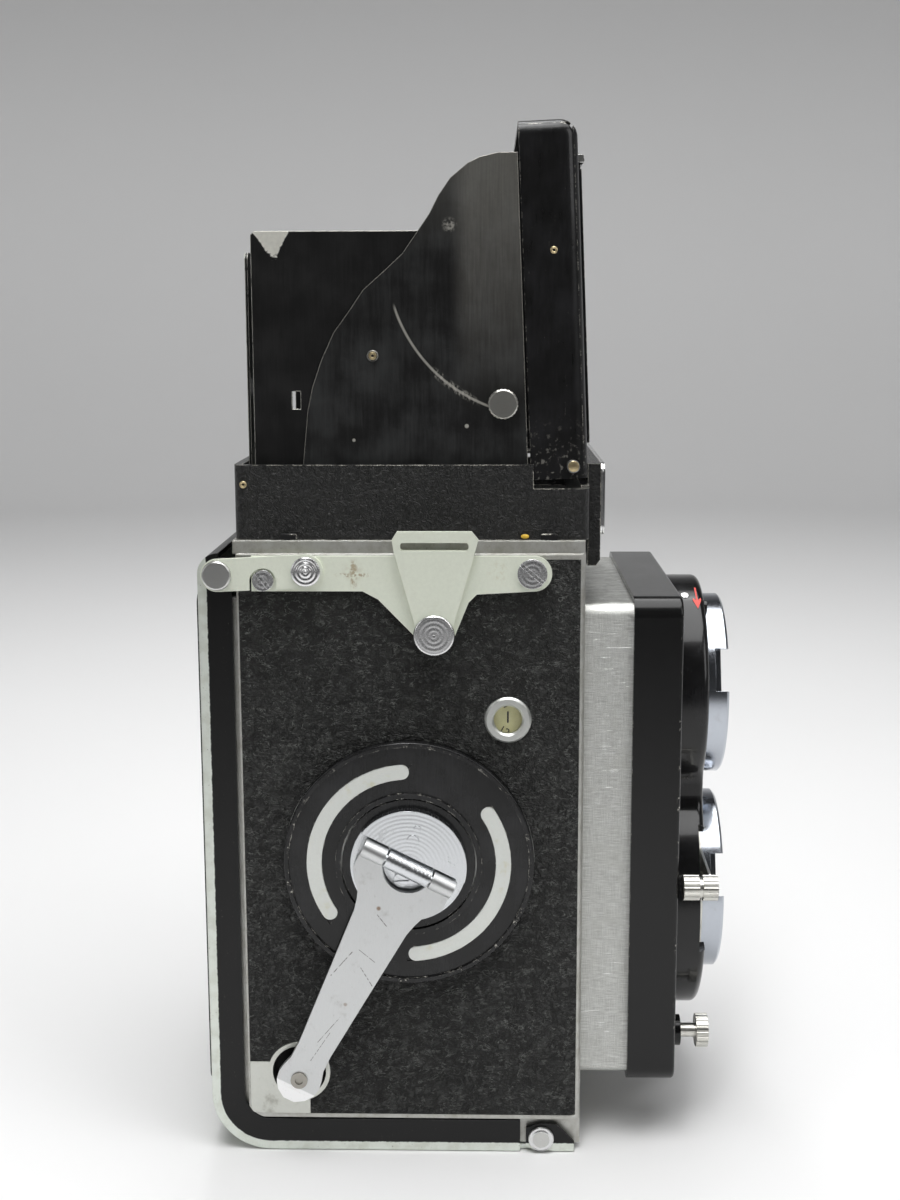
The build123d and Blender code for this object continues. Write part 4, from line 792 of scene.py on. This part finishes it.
def makeLedge():  # black pieces as painted shade in the ledge's notches, and the yellow dot on the ledge
    ledge = 127.6
    form = bmesh.new()
    for sign in (-1, 1):
        for y in (20.1, -30.6):
            outline = [(-1.7, -0.55), (-1.5, -0.75), (1.5, -0.75), (1.7, -0.55), (1.7, 0.35), (1.4, 0.6),
                       (-1.4, 0.6), (-1.7, 0.35)]
            slab(form, outline, lambda u, v, w: (sign * (37.2 + w), y + u, ledge + v), 0.85)
    bmesh.ops.bevel(form, geom=form.edges[:], offset=0.12, segments=2, affect="EDGES")
    # small black slabs stand in for the shade in the notches of the ledge
    piece("notchShadePieces", form, darkTrim, "body")
    form = bmesh.new()
    blob = [(0, 0.22), (0.45, 0.2), (0.7, 0.1), (0.8, -0.05)]
    turned(form, blob, (-37.35, -25.9, ledge + 0.6), (-1, 0, 0), 24)
    for vert in form.verts:  # a flattened dot
        vert.co.z = ledge + (vert.co.z - ledge - 0.6) * 0.55
    piece("yellowDot", form, inks["yellowInk"], "body")


def makeArrow():  # red arrow painted round the viewing lens housing
    look = {"radius": 23.66, "start": 20.0, "across": -62.7}
    outline = [(-0.28, 0.0), (0.28, 0.0), (0.28, 4.6), (1.25, 3.9), (1.45, 4.5), (0.0, 7.2),
               (-1.45, 4.5), (-1.25, 3.9), (-0.28, 4.6)]
    lo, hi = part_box("bayonet_ring_viewing")
    high = (lo.z + hi.z) / 2 / mm

    def wrap(u, v, w):
        angle = math.radians(look["start"]) + v / look["radius"]
        reach = look["radius"] + w
        return (-reach * math.sin(angle), look["across"] + u * 0.62,
                high + reach * math.cos(angle))

    form = bmesh.new()
    slab(form, outline, wrap, 0.06)
    piece("redArrow", form, inks["redInk"], "standard", smooth=False)
    form = bmesh.new()
    for sign in (-1, 1):
        angle = math.radians(27) * sign
        axis = (math.sin(angle), 0, math.cos(angle))
        at = (look["radius"] * axis[0], -60.3, high + look["radius"] * axis[2])
        turned(form, [(0, 0.04), (0.25, 0.05), (0.3, 0.16), (0.8, 0.14), (0.95, 0.02), (0.95, -0.2)],
               at, axis, 28)
    piece("housingScrews", form, chrome, "standard")


def makeNumbers():  # plain generic figures of the counter, the knob and the settings
    # frame counter: 1 to 12, figure 1 under the window
    lo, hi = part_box("counter_disc")
    centre = Vector((lo.x / mm, (lo.y + hi.y) / 2 / mm, (lo.z + hi.z) / 2 / mm))
    words = []
    for i in range(12):
        turn = math.radians(180 - 30 * i)
        at = centre + Vector((-0.02, -5.5 * -math.cos(turn), 5.5 * math.sin(turn)))
        up = (0, -math.sin(turn), math.cos(turn))
        words.append((str(i + 1), 3.4 if i < 1 else 2.2, facing((0, -1, 0), (0, 0, 1), at)
                      @ Matrix.Rotation(math.radians(30 * i), 4, "Z")))
    lettering(words, inks["blackInk"], "counterFigures", "body")
    # focusing knob: distances in metres on its sunken face
    lo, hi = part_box("focus_knob")
    centre = Vector((hi.x / mm - 0.8, (lo.y + hi.y) / 2 / mm, (lo.z + hi.z) / 2 / mm))
    words = []
    for i, text in enumerate(("1", "1.2", "1.5", "2", "3", "5", "10", "15", "30")):
        turn = math.radians(90 - 32 * i)
        at = centre + Vector((0.02, 10.8 * math.cos(turn), 10.8 * math.sin(turn)))
        words.append((text, 2.6, facing((0, 1, 0), (0, 0, 1), at)
                      @ Matrix.Rotation(turn - math.pi / 2, 4, "Z")))
    lettering(words, inks["whiteInk"], "distanceFigures", "focus_knob")
    # speeds and stops round the taking lens
    lo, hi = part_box("bayonet_ring_taking")
    middle = Vector((0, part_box("lens_housing")[0].y / mm + 0.5, (lo.z + hi.z) / 2 / mm))
    words = []
    for texts, first, side in ((("1", "2", "5", "10", "25", "50", "100", "250"), 196, 1),
                               (("3.5", "4", "5.6", "8", "11", "16", "22"), -14, -1)):
        for i, text in enumerate(texts):
            turn = math.radians(first + side * 10.5 * i)
            at = middle + Vector((25.0 * math.cos(turn), -0.03, 25.0 * math.sin(turn)))
            words.append((text, 1.35, facing((1, 0, 0), (0, 0, 1), at)
                          @ Matrix.Rotation(turn + math.pi / 2, 4, "Z")))
    lettering(words, inks["whiteInk"], "exposureFigures", "standard")


def makeKnobCap():  # spun cap in the middle of the focusing knob
    lo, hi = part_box("focus_knob")
    centre = (hi.x / mm - 0.9, (lo.y + hi.y) / 2 / mm, (lo.z + hi.z) / 2 / mm)
    form = bmesh.new()
    rows = [(0, 0.75)]
    rows += [(0.5 + 0.35 * i, 0.74 - 0.01 * i + (0.04 if i % 2 else 0)) for i in range(19)]
    rows += [(7.3, 0.45), (7.5, 0.2), (7.5, -0.1)]
    turned(form, rows, centre, (1, 0, 0), 72)
    piece("focusCap", form, chrome, "focus_knob")


def makeScreenLines():  # fine framing grid on the ground glass
    grid = {"half": 0.07, "inset": 2.6, "thick": 0.03}
    lo, hi = (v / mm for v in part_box("ground_glass"))
    low = (lo.x + grid["inset"], lo.y + grid["inset"])
    high = (hi.x - grid["inset"], hi.y - grid["inset"])
    form = bmesh.new()
    for share in (0.25, 0.5, 0.75):
        x = lo.x + (hi.x - lo.x) * share
        y = lo.y + (hi.y - lo.y) * share
        left, right = x - grid["half"], x + grid["half"]
        near, far = y - grid["half"], y + grid["half"]
        slab(form, [(left, low[1]), (right, low[1]), (right, high[1]), (left, high[1])],
             lambda u, v, w: (u, v, hi.z + w), grid["thick"])
        slab(form, [(low[0], near), (high[0], near), (high[0], far), (low[0], far)],
             lambda u, v, w: (u, v, hi.z + w + 0.001), grid["thick"])
    piece("screenLines", form, inks["lineInk"], "body", smooth=False)


def makePlateFrame():  # bright raised frame round the nameplate
    lo, hi = (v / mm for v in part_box("nameplate"))
    form = bmesh.new()
    corners, sweep = [], 8
    for cx, cz, first in ((hi.x - 2.0, hi.z - 2.0, 0), (lo.x + 2.0, hi.z - 2.0, 90),
                          (lo.x + 2.0, lo.z + 2.0, 180), (hi.x - 2.0, lo.z + 2.0, 270)):
        for i in range(sweep + 1):
            turn = math.radians(first + 90 * i / sweep)
            corners.append((cx, cz, math.cos(turn), math.sin(turn)))
    section = [(1.95, 0.05), (1.95, -0.22), (1.75, -0.34), (1.2, -0.36), (0.95, -0.2), (0.9, 0.05)]
    rows = [[form.verts.new((cx + r * c, lo.y + d, cz + r * s)) for r, d in section]
            for cx, cz, c, s in corners]
    for row, following in zip(rows, rows[1:] + rows[:1]):
        for i in range(len(section)):
            j = (i + 1) % len(section)
            form.faces.new((row[i], row[j], following[j], following[i]))
    piece("plateFrame", form, chrome, "body")


def makeLensTrim():  # ribbed baffle rings in front of each glass, thin bright beads
    trim = {"reach": 15.4, "ribs": 14, "rib": 0.07}
    for name, glass, barrel, sunk in (
            ("viewingTrim", "viewing_front_glass", "viewing_lens_barrel", 0.9),
            ("takingTrim", "taking_front_glass", "taking_lens_barrel", 1.1)):
        g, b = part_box(glass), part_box(barrel)
        middle = (g[0].z + g[1].z) / 2 / mm
        inner = (g[1].x - g[0].x) / 2 / mm
        front = b[0].y / mm
        back = g[0].y / mm
        form = bmesh.new()
        rows = []
        start, end = (trim["reach"], front + 0.55), (inner + 0.15, back + sunk)
        for i in range(trim["ribs"] + 1):
            t = i / trim["ribs"]
            wave = trim["rib"] if i % 2 else 0.0
            rows.append((start[0] + (end[0] - start[0]) * t + wave,
                         -(start[1] + (end[1] - start[1]) * t)))
        turned(form, rows, (0, 0, middle), (0, -1, 0), 72)
        piece(name, form, darkTrim, "standard")
        form = bmesh.new()
        bead = [(inner + 0.1, -(end[1] + 0.05)), (inner + 0.2, -(end[1] - 0.25)),
                (inner + 0.45, -(end[1] - 0.3)), (inner + 0.6, -(end[1] - 0.1))]
        turned(form, bead, (0, 0, middle), (0, -1, 0), 72)
        piece(name + "Bead", form, chrome, "standard")


makeHeads()
makeArcs()
makeEyelets()
makeLedge()
makeArrow()
makeNumbers()
makeKnobCap()
makeScreenLines()
makePlateFrame()
makeLensTrim()
print("trim made")


# Studio: pale floor that curves up, painted darker as painted shade toward the camera side, far out, up
# the wall and in the far corners; soft light.
def makeStudio():
    # the far colour is the painted shade on the floor and the wall
    studio = {"floor": (0.80, 0.80, 0.80), "far": (0.17, 0.17, 0.172), "reach": 1.15,
              "bend": 0.45, "wall": 0.9, "key": 8.6, "front": 2.3, "left": 1.1,
              "backdrop": 4.0, "rake": 1.3, "sky": 0.03}
    reach, bend = studio["reach"], studio["bend"]
    form = bmesh.new()
    rows = [(0, 0), (reach, 0)]
    for i in range(1, 13):
        turn = math.radians(90 * i / 12)
        rows.append((reach + bend * math.sin(turn), bend * (1 - math.cos(turn))))
    rows.append((reach + bend, bend + studio["wall"]))
    turned(form, rows, (0, 0, cadBox[0].z - 0.0002), (0, 0, 1), 96)
    mesh = bpy.data.meshes.new("studioFloor")
    bmesh.ops.recalc_face_normals(form, faces=form.faces)
    for face in form.faces:
        face.smooth = True
    form.to_mesh(mesh)
    form.free()
    floor = bpy.data.objects.new("studioFloor", mesh)
    bpy.context.scene.collection.objects.link(floor)
    f = Finish("palePaperWithPaintedShade")
    out = f.node("ShaderNodeVectorMath", {"operation": "LENGTH"}, {0: f.place}, "Value")
    # painted shade: darker with distance on the camera side, up the wall and in the far corners, so dark
    # surfaces reflect dark; a painted vignette
    paintedShade = f.step(out, 150.0, 620.0) * f.step(f.x, 60.0, -160.0)
    paintedShade = paintedShade.higher(f.step(f.z, 150.0, 1000.0) * 0.85)
    corner = f.step(abs(f.y), 350.0, 1150.0) * f.step(f.z, 200.0, 700.0)
    paintedShade = paintedShade.higher(corner * f.step(f.x, 300.0, 800.0))
    paper = f.blend(f.noise(0.004, 3), studio["floor"], tuple(c * 0.97 for c in studio["floor"]))
    f.feed("Base Color", f.blend(paintedShade, paper, studio["far"]))
    f.feed("Roughness", 0.6)
    mesh.materials.append(f.material)

    def area(name, power, size, place, target=(0, 0, 0.09)):
        lamp = bpy.data.lights.new(name, "AREA")
        lamp.energy = power
        lamp.shape, lamp.size, lamp.size_y = "RECTANGLE", size[0], size[1]
        holder = bpy.data.objects.new(name, lamp)
        bpy.context.scene.collection.objects.link(holder)
        holder.location = place
        aim = Vector(target) - Vector(place)
        holder.rotation_mode = "QUATERNION"
        holder.rotation_quaternion = aim.to_track_quat("-Z", "Y")

    area("keyAbove", studio["key"], (0.8, 0.8), (-0.12, -0.1, 0.95))
    area("fillFront", studio["front"], (0.5, 0.6), (-0.55, -0.75, 0.55))
    area("fillRear", studio["left"], (0.4, 0.6), (-0.45, 0.8, 0.45))
    area("rakeLeft", studio["rake"], (0.10, 0.5), (-0.30, 0.05, 0.62), (-0.04, 0, 0.07))
    area("rakeRight", studio["rake"] * 0.5, (0.10, 0.5), (0.30, 0.05, 0.62), (0.04, 0, 0.07))
    area("backdropGlow", studio["backdrop"], (0.5, 0.9), (0.55, 0, 1.1), (1.5, 0, 0.1))
    world = bpy.data.worlds.new("softSky")
    world.use_nodes = True
    sky = world.node_tree.nodes["Background"]
    sky.inputs["Color"].default_value = (0.92, 0.94, 1.0, 1)
    sky.inputs["Strength"].default_value = studio["sky"]
    bpy.context.scene.world = world
    bpy.context.scene.view_settings.view_transform = "Standard"


makeStudio()
print("studio made")
